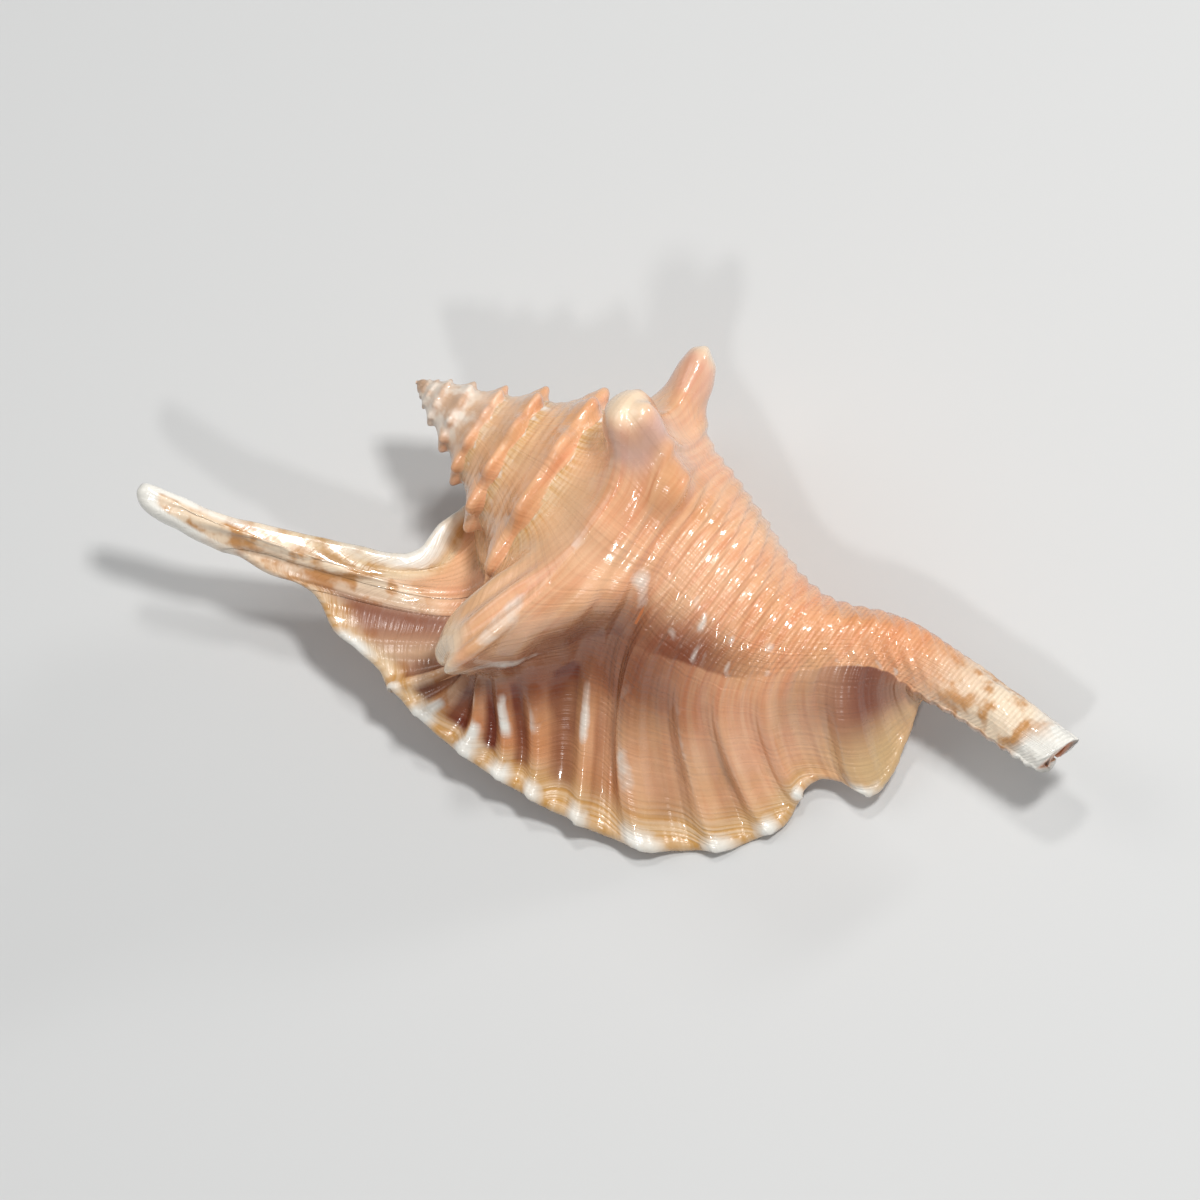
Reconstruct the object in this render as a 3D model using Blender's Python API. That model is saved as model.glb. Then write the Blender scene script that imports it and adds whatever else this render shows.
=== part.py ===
# Rooster tail conch: one shell, grown as a single piece.
# The shell is laid out in millimetres on its coiling axis. There x runs from the apex to the
# canal, and angles go round the axis with growth: 0 is the back of the shell, 90 the side of
# the lip and 180 the underside. The finished shell is turned as it rests and set in metres.
import math

import bmesh
import bpy
import numpy as np
from mathutils import Matrix, Vector

MM = 0.001
SHELL_COLOUR = (0.83, 0.52, 0.30, 1.0)
SHELL_ROUGHNESS = 0.25

# Whorls: each is WHORL_GROWTH times the one before. The outline is the last whorl's, as
# (distance from the apex, radius), seen at OUTLINE_ANGLE.
WHORL_GROWTH = 1.46
WHORL_COUNT = 9
OUTLINE_ANGLE = -80
WHORL_OUTLINE = [(18, 0), (20, 5), (22, 9.5), (24, 12.9), (25, 13.9), (26.5, 14.5), (28, 15.4),
                 (30, 17.2), (32, 19.3), (34, 21.2), (35.2, 21.6), (36.5, 21), (38, 20.3), (40, 19.7),
                 (45, 18.7), (50, 17.4), (55, 15.8), (60, 13.9), (65, 12), (70, 10.2), (75, 8.4),
                 (80, 6.8), (85, 5.5), (90, 4.8), (95, 4.5), (105, 4.2), (118, 3.6)]
# (angle, how far the suture climbs over the whorl before)
SUTURE_CLIMB = [(-200, 0), (10, 0), (40, 0.6), (70, 2), (100, 4.4), (125, 8.5), (150, 13.5), (165, 17),
                (190, 18)]
# (x, how much shorter the worn tip is than a perfect spire)
TIP_WEAR = [(-1.3, 1.34), (0, 1.35), (1.4, 1.45), (3.2, 1.6), (6.5, 0.9), (11, 0), (16, 0)]
KEEL_PLACE = 34.8
KEEL_WIDTH = 2.3
KEEL_NODE_STEP = 36
KEEL_NODE_SIZE = 0.15

# Canal: (x, distance of its middle from the coiling axis), sideways and upwards, then the
# radius that its free side wraps round, the angle it wraps to, and its slanting end
CANAL_SIDE = [(0, 0.35), (64, 0.35), (70, 1.6), (75, 4.5), (80, 8.3), (85, 10.7), (90, 11.8), (96, 12.1),
              (120, 12.2)]
CANAL_RISE = [(0, 0), (66, 0), (75, 0.8), (85, 3.6), (95, 7), (105, 10), (118, 13)]
CANAL_BORE = [(85, 4.6), (90, 3.9), (100, 3.5), (110, 3.3), (117, 2.9)]
CANAL_WRAP = 146
CANAL_SLANT = 0.32
CANAL_SLANT_START, CANAL_SLANT_FULL = 106, 115

# Shoulder knobs: angle, x, half width round the shell and along it, height, lean along x,
# lean round the shell, and how steep the flank is. A negative height is a hollow.
KNOBS = [(-70, 36.0, 3.8, 3.0, 10.0, -2.4, 0.5, 3.2),
         (-24, 37.4, 4.5, 4.0, 9.4, -5.6, 1.8, 4.4),
         (-26, 41.8, 2.9, 2.5, 3.8, -1.2, 0.8, 3.2),
         (69, 36.8, 8.8, 5.2, 11.8, -5.2, 4.5, 5.6),
         (55, 42.0, 8.5, 3.7, 7.4, -2.2, 3.0, 5.0),
         (72, 46.6, 8.0, 3.0, -3.0, 0.0, 0.0, 2.2),
         (50, 50.0, 7.0, 2.8, -1.6, 0.0, 0.0, 2.2),
         (-18, 44.8, 3.0, 2.2, 3.4, 0.3, 0.0, 3.4),
         (38, 46.6, 3.4, 2.3, 4.6, 0.5, 1.2, 3.4),
         (-112, 33.5, 3.6, 3.0, 5.4, -1.6, 0.0, 2.6),
         (-142, 31.5, 3.2, 2.8, 5.5, -1.2, 0.0, 2.6)]
KNOB_RADIUS = 20.0
# (angle over a knob, how many more points than elsewhere crowd there)
CROWDED = [(-70, 2.2), (-23, 2.4), (69, 1.6), (50, 1.0), (-112, 0.8), (-142, 0.6)]

# Lip: the growth lines that fan out to its margin, as line number, x of the root, angle of
# the root, and the margin's x, y and z
LIP_LINES = [
    (0, 15.3, 165, 15.3, -3.6, -9.9), (1, 16.0, 158, 16.3, -6.5, -10.0), (2, 17.0, 150, 15.9, -9.3, -9.8),
    (3, 18.2, 144, 14.8, -13.6, -9.2), (5, 19.6, 138, 14.6, -19.2, -8.8), (6, 20.4, 134, 12.4, -21.6, -8.4),
    (7, 21.4, 130, 5.3, -25.2, -7.6), (8, 22.2, 126, -2.5, -29.0, -7.0), (9, 22.9, 123, -12.1, -33.6, -6.2),
    (10, 23.7, 120, -22.6, -37.0, -4.8), (11, 24.6, 116, -24.4, -39.0, -4.5), (12, 25.6, 113, -22.4, -40.7, -5.0),
    (13, 26.7, 110, -14.2, -39.5, -6.6), (14, 27.8, 107, -6.9, -37.2, -7.8), (15, 28.8, 105, -0.8, -36.1, -8.2),
    (16, 29.9, 103, 4.6, -34.6, -8.6), (17, 30.9, 101, 7.9, -34.9, -8.9), (18, 31.8, 100, 11.8, -36.8, -9.0),
    (19, 32.9, 99, 17.1, -37.5, -9.2), (20, 34.1, 98, 22.0, -37.8, -9.2), (21, 35.0, 97, 24.8, -39.2, -9.0),
    (22, 36.2, 95, 28.9, -39.6, -9.0), (23, 37.5, 92, 34.7, -40.3, -9.0), (24, 38.9, 89, 39.3, -40.3, -9.0),
    (25, 40.8, 84, 46.0, -40.0, -9.0), (26, 43.2, 78, 52.3, -39.3, -9.0), (27, 46.6, 69, 59.7, -38.0, -9.0),
    (28, 50.0, 61, 64.6, -36.8, -9.0), (29, 54.2, 55, 70.5, -35.2, -9.0), (30, 58.4, 51, 76.0, -31.3, -8.8),
    (31, 62.4, 48, 81.0, -27.6, -8.4), (32, 66.4, 47, 84.7, -22.2, -7.8), (33, 69.6, 45, 86.7, -18.0, -7.0),
    (34, 72.0, 43, 86.2, -14.7, -6.0), (35, 74.3, 41, 86.2, -11.5, -4.8), (36, 76.8, 39, 88.9, -9.2, -3.8),
    (37, 79.0, 37, 91.8, -8.6, -3.4), (38, 81.2, 36, 94.8, -7.2, -3.2), (39, 83.8, 38, 95.6, -3.4, -2.2),
    (40, 86.6, 44, 94.5, 1.4, -0.6), (41, 89.6, 55, 93.3, 6.2, 1.8)]
# Along those lines: how steeply a line leaves the whorl and how far it runs that way, the
# heading it arrives with, its rise and its run there, and the thickness, each by line number
LEAVE_DIP = [(0, 5), (2, 5), (7, 10), (11, 18), (15, 28), (23, 42), (24, 47), (25, 56), (27, 57), (28, 53),
             (34, 44), (35, 42), (37, 41), (38, 42), (41, 60)]
LEAVE_RUN = [(0, 1.2), (3, 10), (6, 17), (10, 33), (11.5, 35), (16, 23), (18, 21.8), (22, 17.2), (25, 17.2),
             (28, 16.5), (31, 14.5), (34, 9.4), (36, 8), (39, 8), (41, 5.5)]
ARRIVE_HEADING = [(0, 96), (1, 108), (2, 135), (3, 174), (7, 204), (8, 201), (10, 186), (11, 169), (12, 156),
                  (18, 149), (20, 131), (22, 120), (24, 90), (26, 74), (27, 69), (28, 56), (29, 41), (31, 37),
                  (33, 12), (35, 6), (36, 24), (38, 30), (40, 18), (41, 37)]
ARRIVE_RISE = [(0, -0.3), (2, 0.1), (11, 0.1), (14, 0), (35, 0.04), (36, -0.1), (40, -0.1), (41, -1.4)]
ARRIVE_RUN = [(0, 1.2), (3, 9), (6, 11), (8, 24), (10, 40), (11, 42), (12, 40), (14, 25), (16, 18), (22, 16),
              (25, 20), (29, 26), (33, 17), (35, 12), (39, 11), (41, 6)]
LIP_THICKNESS = [(0, 0.8), (1, 1.1), (2, 1.4), (7, 2), (9, 2.8), (12, 3), (14, 2.5), (17, 1.9), (22, 2),
                 (31, 2), (41, 1.6)]
# Ribs of the lip: growth line, half width in lines, height
RIBS = [(18.6, 0.9, 1.2), (21.0, 0.42, 2.0), (22.35, 0.42, 2.1), (24.05, 0.42, 2.5), (25.05, 0.34, 2.3),
        (26.0, 0.32, 2.5), (27.1, 0.42, 2.9), (29.0, 0.62, 3.1), (30.85, 0.5, 3.0), (32.2, 0.42, 2.6),
        (34.2, 0.4, 1.6), (37.6, 0.9, 2.4)]
RIB_STEEP_SIDE, RIB_GENTLE_SIDE = 0.72, 1.25
FINGER_LINE, FINGER_WIDTH, FINGER_HEIGHT = 11.2, 2.6, 3.0
FINGER_REACH = 4.6
FINGER_UP = (-0.05, 0.12, 0.99)
VALLEY_DEPTH = 1.3
MARGIN_SCALLOP = 0.7
# (x, radius of the whorl in the groove behind the lip)
GROOVE = [(30, 19), (34, 21.5), (38, 20.5), (40, 19.5), (45, 18), (50, 18.2), (55, 18.4), (60, 17.9),
          (65, 16.4), (70, 14.3), (75, 12), (80, 9.8), (85, 7.4), (90, 5.2), (100, 4.4)]
GROOVE_SPAN = 85
# The line where the lip leaves the whorl is rounded off, over so many points and times
ROOT_SOFTNESS, ROOT_ROUNDS = 4.0, 14

# Aperture under the lip: how deep it goes round the shell, and its least height
APERTURE_DEPTH = 88.0
CANAL_DEPTH = 55.0
APERTURE_GAP = 3.2
COLUMELLA = 0.30

# How it rests: turned about x, then about y, and worn flat by REST_WEAR where it touches
REST_ROLL = -0.2
REST_PITCH = 12.3
REST_WEAR = 0.4

# Sections along x, as (start, end, count), and points round each section
SPIRE_ROWS = [(-1.25, 0.2, 5), (0.2, 15.2, 30)]
LIP_ROWS = [(15.4, 26, 26), (26, 43, 40), (43, 89.6, 60)]
CANAL_ROWS = [(90.2, 115.3, 24)]
BACK_POINTS, LIP_POINTS, EDGE_POINTS, UNDER_POINTS, APERTURE_POINTS = 80, 30, 3, 18, 30
BACK_START = -170
TRIANGLES = 9400


def curve(points, x, rounded=False):
    # a smooth line through the points: with rounded off it never overshoots them
    knots, values = np.array(points, float).T
    step = np.diff(knots)
    slope = np.diff(values) / step
    tangent = np.zeros_like(values)
    if rounded:
        tangent[1:-1] = (slope[:-1] * step[1:] + slope[1:] * step[:-1]) / (step[:-1] + step[1:])
    else:
        same_way = slope[:-1] * slope[1:] > 0
        total = np.where(same_way, slope[:-1] + slope[1:], 1.0)
        tangent[1:-1] = np.where(same_way, 2 * slope[:-1] * slope[1:] / total, 0.0)
    tangent[0], tangent[-1] = slope[0], slope[-1]
    x = np.clip(x, knots[0], knots[-1])
    i = np.clip(np.searchsorted(knots, x) - 1, 0, len(knots) - 2)
    u = (x - knots[i]) / step[i]
    return ((2 * u**3 - 3 * u**2 + 1) * values[i] + (u**3 - 2 * u**2 + u) * step[i] * tangent[i]
            + (3 * u**2 - 2 * u**3) * values[i + 1] + (u**3 - u**2) * step[i] * tangent[i + 1])


def ease(start, end, x):
    # 0 at start and 1 at end, with no corner at either
    u = np.clip((x - start) / (end - start), 0, 1)
    return u * u * (3 - 2 * u)


def unit(vectors):
    return vectors / np.maximum(np.linalg.norm(vectors, axis=-1, keepdims=True), 1e-9)


def whorl_radius(angle, x):
    # the coil's outside is the largest of its whorls at each place
    distance = x + curve(TIP_WEAR, x)
    radius = np.zeros(np.broadcast(angle, x).shape)
    for turn in range(WHORL_COUNT):
        turned = angle - 360.0 * turn
        size = WHORL_GROWTH ** ((turned - OUTLINE_ANGLE) / 360)
        climb = curve(SUTURE_CLIMB, turned) if turn == 0 else 0.0
        place = (distance + climb) / size
        keel = np.exp(-((place - KEEL_PLACE) / KEEL_WIDTH) ** 2)
        node = 0.5 + 0.5 * np.cos(np.radians((turned - OUTLINE_ANGLE) * 360 / KEEL_NODE_STEP))
        noded = KEEL_NODE_SIZE * ease(-60, -200, turned) * ease(0, 0.25, size)
        radius = np.maximum(radius, size * curve(WHORL_OUTLINE, place) * (1 + noded * keel * node))
    return radius


def on_axis(angle, radius, x):
    # a point at this angle and radius round the shell's middle line
    a = np.radians(angle)
    side = curve(CANAL_SIDE, x) - radius * np.sin(a)
    rise = curve(CANAL_RISE, x) + radius * np.cos(a)
    return np.stack(np.broadcast_arrays(x, side, rise), -1)


def root_angle(x):
    roots = [(-5, 165)] + [(line[1], line[2]) for line in LIP_LINES] + [(95, 62), (120, 64)]
    return curve(roots, x)


def body_radius(angle, x):
    lip_start = root_angle(x)
    sunk = ease(lip_start - GROOVE_SPAN, lip_start, angle) * ease(27, 36, x)
    places, radii = np.array(GROOVE, float).T
    return whorl_radius(angle, x) * (1 - sunk) + np.interp(x, places, radii) * sunk


def back_surface(angle, x):
    # the outside of spire, body and canal, with its knobs
    angle, x = np.broadcast_arrays(angle, x)
    points = on_axis(angle, body_radius(angle, x), x)
    for at, along, wide, long, height, lean, twist, steep in KNOBS:
        across = np.radians(angle - at) * KNOB_RADIUS / wide
        away = np.hypot(across, (x - along) / long)
        swell = ease(4.2, 1.6, away) / (1 + away ** steep)
        sin, cos = math.sin(math.radians(at)), math.cos(math.radians(at))
        push = np.array([lean, -height * sin - twist * cos, height * cos - twist * sin])
        points = points + swell[..., None] * push
    slant = CANAL_SLANT * ease(CANAL_SLANT_START, CANAL_SLANT_FULL, x)
    points[..., 0] += slant * (points[..., 1] - curve(CANAL_SIDE, x))
    return points


def rows_of(spans):
    ends = [np.linspace(start, end, count, endpoint=False) for start, end, count in spans]
    return np.concatenate(ends + [[spans[-1][1]]])


def crowded_angles(last, count):
    # angles from BACK_START to last, closer together over the knobs
    fine = np.linspace(BACK_START, 170, 1361)
    density = np.ones_like(fine)
    for at, weight in CROWDED:
        density += weight * np.exp(-((fine - at) / 11.0) ** 2)
    total = np.concatenate([[0], np.cumsum((density[1:] + density[:-1]) / 2)])
    share = np.linspace(0, 1, count)
    return np.interp(np.interp(last, fine, total)[:, None] * share, total, fine)


def surface_normals(points):
    return unit(np.cross(np.gradient(points, axis=1), np.gradient(points, axis=0)))


def even_points(path, count):
    # the same number of even steps along each row's path, without its two ends
    out = np.empty((len(path), count, 3))
    for i, row in enumerate(path):
        run = np.concatenate([[0], np.cumsum(np.linalg.norm(np.diff(row, axis=0), axis=1))])
        places = np.linspace(0, run[-1], count + 2)[1:-1]
        out[i] = np.stack([np.interp(places, run, row[:, axis]) for axis in range(3)], -1)
    return out


def lip_frame(x):
    # where each row's growth line ends, the ways it leaves and arrives, its number and thickness
    lines = np.array(LIP_LINES, float)
    key = lines[:, 1]
    place = np.clip(x, key[0], key[-1])
    number = curve(np.stack([key, lines[:, 0]], 1), place)
    margin = np.stack([curve(np.stack([key, lines[:, c]], 1), place, rounded=True) for c in (3, 4, 5)], -1)
    free = ease(key[-1], key[-1] + 4, x)[:, None]
    start = root_angle(x)
    dip = np.radians(curve(LEAVE_DIP, number))
    leave = np.stack([0 * dip, -np.cos(dip), -np.sin(dip)], -1) * curve(LEAVE_RUN, number)[:, None]
    heading = np.radians(curve(ARRIVE_HEADING, number, rounded=True))
    way = unit(np.stack([np.cos(heading), -np.sin(heading), curve(ARRIVE_RISE, number)], -1))
    arrive = way * curve(ARRIVE_RUN, number)[:, None]
    # past the lip the lines only wrap the canal
    bore = np.interp(x, *np.array(CANAL_BORE, float).T)
    wrapped = on_axis(CANAL_WRAP, bore, x + 0.3)
    a, wrap = np.radians(start), math.radians(CANAL_WRAP)
    pull = (4 * bore * np.tan((wrap - a) / 4))[:, None]
    leave_canal = np.stack([0 * a, -np.cos(a), -np.sin(a)], -1) * pull
    arrive_canal = np.array([0, -math.cos(wrap), -math.sin(wrap)]) * pull
    margin = margin * (1 - free) + wrapped * free
    leave = leave * (1 - free) + leave_canal * free
    arrive = arrive * (1 - free) + arrive_canal * free
    thickness = curve(LIP_THICKNESS, number)
    margin = margin - unit(arrive) * (thickness[:, None] * 0.5 * (1 - free))
    return number, margin, leave, arrive, thickness, free


def sweep(root, leave, margin, arrive, u):
    u = u[None, :, None]
    return ((2 * u**3 - 3 * u**2 + 1) * root[:, None] + (u**3 - 2 * u**2 + u) * leave[:, None]
            + (3 * u**2 - 2 * u**3) * margin[:, None] + (u**3 - u**2) * arrive[:, None])


def rib_shape(number, line, width):
    # 1 on a rib's crest, falling faster on the side towards the apex
    side = np.where(number < line, RIB_STEEP_SIDE, RIB_GENTLE_SIDE)
    return np.exp(-np.abs((number - line) / (width * side)) ** 1.7)


def lip_relief(number, u, free):
    # how far ribs, valleys and the finger stand off the lip, and how far ribs pass its margin
    number = number[:, None]
    rise = np.zeros((len(number), len(u)))
    reach = np.zeros_like(rise)
    for line, width, height in RIBS:
        rib = rib_shape(number, line, width)
        rise += height * rib * ease(0.06, 0.5, u) * (1 - 0.25 * ease(0.75, 1, u))
        reach += MARGIN_SCALLOP * height / 2.4 * rib
    rise -= VALLEY_DEPTH * ease(0.06, 0.5, u) * ease(20, 24, number) * ease(34, 31, number)
    finger = np.exp(-((number - FINGER_LINE) / FINGER_WIDTH) ** 2)
    rise += FINGER_HEIGHT * finger * ease(0.1, 0.5, u) * (1 - 0.45 * ease(0.6, 1, u))
    reach = (reach - 0.25) * ease(19, 23, number) * ease(0.7, 1, u)
    return rise * (1 - free), reach * (1 - free)


def round_root(back, lip, x):
    # soften the line where the lip leaves the whorl
    joined = np.concatenate([back, lip], 1)
    place = np.arange(1, joined.shape[1] - 1)
    near = np.exp(-((place - back.shape[1]) / ROOT_SOFTNESS) ** 2)
    weight = (near * (ease(36, 46, x) * ease(94, 86, x))[:, None])[..., None]
    for _ in range(ROOT_ROUNDS):
        joined[:, 1:-1] += weight * ((joined[:, :-2] + joined[:, 2:]) / 2 - joined[:, 1:-1])
    return joined[:, :back.shape[1]], joined[:, back.shape[1]:]


def lip_surface(back, x, u):
    # the back and the upper side of the lip, its outward normals and the lines' other values
    number, margin, leave, arrive, thickness, free = lip_frame(x)
    lip = sweep(back[:, -1], leave, margin, arrive, u)
    on_finger = np.exp(-((number[:, None] - FINGER_LINE) / FINGER_REACH) ** 4) * ease(0.1, 0.35, u)
    on_finger = on_finger[..., None]

    def outward(points):
        normals = surface_normals(np.concatenate([back[:, -2:], points], 1))[:, 2:]
        return unit(normals * (1 - on_finger) + np.array(FINGER_UP) * on_finger)

    rise, reach = lip_relief(number, u, free)
    lip = lip + outward(lip) * rise[..., None] + unit(arrive)[:, None] * reach[..., None]
    back, lip = round_root(back, lip, x)
    return back, lip, outward(lip), unit(arrive), thickness, free


def lip_underside(root, root_normal, lip, normals, u, thickness, count):
    # the lip's inner face, from its margin back to the root
    u = np.concatenate([[0], u])
    outer = np.concatenate([root[None], lip])
    turn = ease(0, 0.3, u)[:, None]
    facing = unit(root_normal * (1 - turn) + np.concatenate([root_normal[None], normals]) * turn)
    inner = outer - facing * thickness
    places = np.linspace(1, 0, count + 1)
    return np.stack([np.interp(places, u, inner[:, axis]) for axis in range(3)], -1)


def rounded_margin(outer, inner, way, count):
    angles = np.pi * np.arange(1, count + 1)[:, None] / (count + 1)
    half = (outer - inner) / 2
    return (outer + inner) / 2 + half * np.cos(angles) + way * np.linalg.norm(half) * np.sin(angles)


def aperture_path(x, start, thickness, free, root, back_first):
    # from the lip's root into the aperture, round its inner wall and back to the first column
    x = x[:, None]
    start = start[:, None]
    depth = APERTURE_DEPTH * ease(31.5, 40, x) + CANAL_DEPTH * ease(78, 96, x)
    wall = thickness[:, None] * (1 - 0.25 * free)
    outer_angle = start - depth * np.linspace(0, 1, 40)
    outer = on_axis(outer_angle, body_radius(outer_angle, x) - wall, x)
    inner_angle = (start - depth) + (190 - start + depth) * np.linspace(0, 1, 90)
    hollow = ease(31, 34, x)
    in_canal = ease(72, 92, x)
    gap = 0.8 + (APERTURE_GAP - 0.8) * ease(33, 42, x)
    room = body_radius(np.minimum(inner_angle, start), x) - wall - gap
    roofed = ease(start + 75, start + 5, inner_angle) * hollow
    radius = whorl_radius(inner_angle - 360, x)
    radius = np.maximum(np.minimum(radius, room) * roofed + radius * (1 - roofed), 0.8)
    bore = np.interp(x, *np.array(CANAL_BORE, float).T)
    radius = radius * (1 - in_canal) + COLUMELLA * bore * in_canal
    shifted = on_axis(-150, 0.5 * bore * in_canal, x)
    inner = on_axis(inner_angle, radius, x) + shifted - on_axis(0, 0, x)
    to_back = ease(110, 190, inner_angle) * (0.15 + 0.85 * in_canal)
    to_back = np.maximum(to_back, ease(165, 190, inner_angle))[..., None]
    inner = inner * (1 - to_back) + back_first[:, None] * to_back
    # above the shoulder there is no hollow, and the path lies on the whorl before
    solid_angle = root[:, None] + (190 - root[:, None]) * np.linspace(0, 1, 130)
    solid = on_axis(solid_angle, whorl_radius(solid_angle - 360, x), x)
    open_part = ease(30.5, 34, x)[..., None]
    return solid * (1 - open_part) + np.concatenate([outer, inner], 1) * open_part


def shell_points():
    # rows of points along x, each a closed ring: back, lip, margin, underside, aperture
    spire = rows_of(SPIRE_ROWS)
    x = np.concatenate([spire, rows_of(LIP_ROWS), rows_of(CANAL_ROWS)])
    start = root_angle(x)
    back = back_surface(crowded_angles(start, BACK_POINTS), x[:, None])
    u = np.linspace(0, 1, LIP_POINTS + 1)[1:]
    lipped = slice(len(spire), None)
    lx = x[lipped]
    back[lipped], lip, normals, way, thickness, free = lip_surface(back[lipped], lx, u)
    open_part = ease(30.5, 34, lx)[:, None]
    root_radius = body_radius(start[lipped], lx)
    solid_angle = start[lipped] + np.degrees(thickness / np.maximum(root_radius, 1))
    on_solid = on_axis(solid_angle, whorl_radius(solid_angle - 360, lx), lx)
    in_hollow = on_axis(start[lipped], root_radius - thickness, lx)
    inside = on_solid * (1 - open_part) + in_hollow * open_part
    path = aperture_path(lx, start[lipped], thickness, free, solid_angle, back[lipped, 0])
    path = np.concatenate([inside[:, None], path[:, 1:-1], back[lipped, :1]], 1)
    aperture = even_points(path, APERTURE_POINTS)
    rings = []
    for i, root in enumerate(back[lipped, -1]):
        facing = unit(root - inside[i])
        under = lip_underside(root, facing, lip[i], normals[i], u, thickness[i], UNDER_POINTS)
        margin = rounded_margin(lip[i, -1], under[0], way[i], EDGE_POINTS)
        rings.append(np.concatenate([back[len(spire) + i], lip[i], margin, under, aperture[i]]))
    # the spire has no lip: its rings close round the whorl
    spare = len(rings[0]) - BACK_POINTS
    share = np.arange(1, spare + 1) / (spare + 1)
    closing = start[:len(spire), None] + (190 - start[:len(spire), None]) * share
    tops = on_axis(closing, whorl_radius(closing - 360, spire[:, None]), spire[:, None])
    return np.concatenate([np.concatenate([back[:len(spire)], tops], 1), np.array(rings)])


def ring_mesh(name, rings):
    # skin the rings in order and close the two ends
    mesh = bpy.data.meshes.new(name)
    bm = bmesh.new()
    loops = [[bm.verts.new(point) for point in ring] for ring in rings]
    for first, second in zip(loops, loops[1:]):
        for i in range(len(first)):
            bm.faces.new((first[i - 1], first[i], second[i], second[i - 1]))
    bm.faces.new(loops[0])
    bm.faces.new(loops[-1][::-1])
    bmesh.ops.recalc_face_normals(bm, faces=bm.faces)
    bm.to_mesh(mesh)
    bm.free()
    return mesh


def thin_out(shell):
    # fewer triangles on the plain stretches, and the knobs and ribs keep theirs
    shell.data.calc_loop_triangles()
    decimate = shell.modifiers.new("fewer triangles", "DECIMATE")
    decimate.use_collapse_triangulate = True
    decimate.ratio = TRIANGLES / len(shell.data.loop_triangles)
    bpy.context.view_layer.update()
    thinned = bpy.data.meshes.new_from_object(shell.evaluated_get(bpy.context.evaluated_depsgraph_get()))
    shell.modifiers.clear()
    shell.data = thinned


def wear_flat(shell):
    # cut the lowest points off level, so that the shell rests on small flat spots
    bm = bmesh.new()
    bm.from_mesh(shell.data)
    floor = min(vertex.co.z for vertex in bm.verts) + REST_WEAR
    parts = bm.verts[:] + bm.edges[:] + bm.faces[:]
    cut = bmesh.ops.bisect_plane(bm, geom=parts, dist=1e-5, plane_co=(0, 0, floor), plane_no=(0, 0, -1),
                                 clear_outer=True)
    rim = [edge for edge in cut["geom_cut"] if isinstance(edge, bmesh.types.BMEdge)]
    bmesh.ops.holes_fill(bm, edges=rim, sides=0)
    bmesh.ops.triangulate(bm, faces=bm.faces)
    bmesh.ops.recalc_face_normals(bm, faces=bm.faces)
    bm.to_mesh(shell.data)
    bm.free()


def set_on_floor(shell):
    # origin in the middle of the box, on the floor
    points = [vertex.co for vertex in shell.data.vertices]
    low = Vector(min(point[axis] for point in points) for axis in range(3))
    high = Vector(max(point[axis] for point in points) for axis in range(3))
    middle = (low + high) / 2
    shell.data.transform(Matrix.Translation((-middle.x, -middle.y, -low.z)))
    shell.data.transform(Matrix.Scale(MM, 4))


def shell_material():
    material = bpy.data.materials.new("glossy shell")
    material.use_nodes = True
    surface = material.node_tree.nodes["Principled BSDF"]
    surface.inputs["Base Color"].default_value = SHELL_COLOUR
    surface.inputs["Roughness"].default_value = SHELL_ROUGHNESS
    surface.inputs["Metallic"].default_value = 0.0
    return material


def make_shell(collection):
    shell = bpy.data.objects.new("conch_shell", ring_mesh("conch_shell", shell_points()))
    collection.objects.link(shell)
    thin_out(shell)
    turn = Matrix.Rotation(math.radians(REST_PITCH), 4, "Y") @ Matrix.Rotation(math.radians(REST_ROLL), 4, "X")
    shell.data.transform(turn)
    wear_flat(shell)
    set_on_floor(shell)
    shell.data.materials.append(shell_material())
    return shell


def main():
    for thing in list(bpy.data.objects):
        bpy.data.objects.remove(thing)
    collection = bpy.data.collections.new("rooster_tail_conch")
    bpy.context.scene.collection.children.link(collection)
    make_shell(collection)


main()
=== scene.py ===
import math

import bpy
import numpy as np
from mathutils import Matrix, Vector


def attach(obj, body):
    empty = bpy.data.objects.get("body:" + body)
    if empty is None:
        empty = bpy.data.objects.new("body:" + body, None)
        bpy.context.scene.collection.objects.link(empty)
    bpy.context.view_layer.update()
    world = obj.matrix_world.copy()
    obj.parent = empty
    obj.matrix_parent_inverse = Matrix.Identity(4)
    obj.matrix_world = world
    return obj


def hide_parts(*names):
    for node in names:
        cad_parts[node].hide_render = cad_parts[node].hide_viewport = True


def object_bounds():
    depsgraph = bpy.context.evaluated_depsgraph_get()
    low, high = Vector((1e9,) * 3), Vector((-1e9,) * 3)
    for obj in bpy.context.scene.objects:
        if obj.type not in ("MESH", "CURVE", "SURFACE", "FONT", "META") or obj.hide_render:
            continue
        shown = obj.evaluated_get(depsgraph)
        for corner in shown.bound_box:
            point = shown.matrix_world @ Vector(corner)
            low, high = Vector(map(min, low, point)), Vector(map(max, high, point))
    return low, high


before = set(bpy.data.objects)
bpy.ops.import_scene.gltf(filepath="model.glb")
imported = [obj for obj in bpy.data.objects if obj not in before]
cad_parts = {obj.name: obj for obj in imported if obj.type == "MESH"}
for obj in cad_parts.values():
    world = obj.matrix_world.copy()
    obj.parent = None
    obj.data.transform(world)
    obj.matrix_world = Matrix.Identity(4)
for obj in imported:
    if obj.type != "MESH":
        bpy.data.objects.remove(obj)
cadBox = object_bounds()
mm = 0.001

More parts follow.
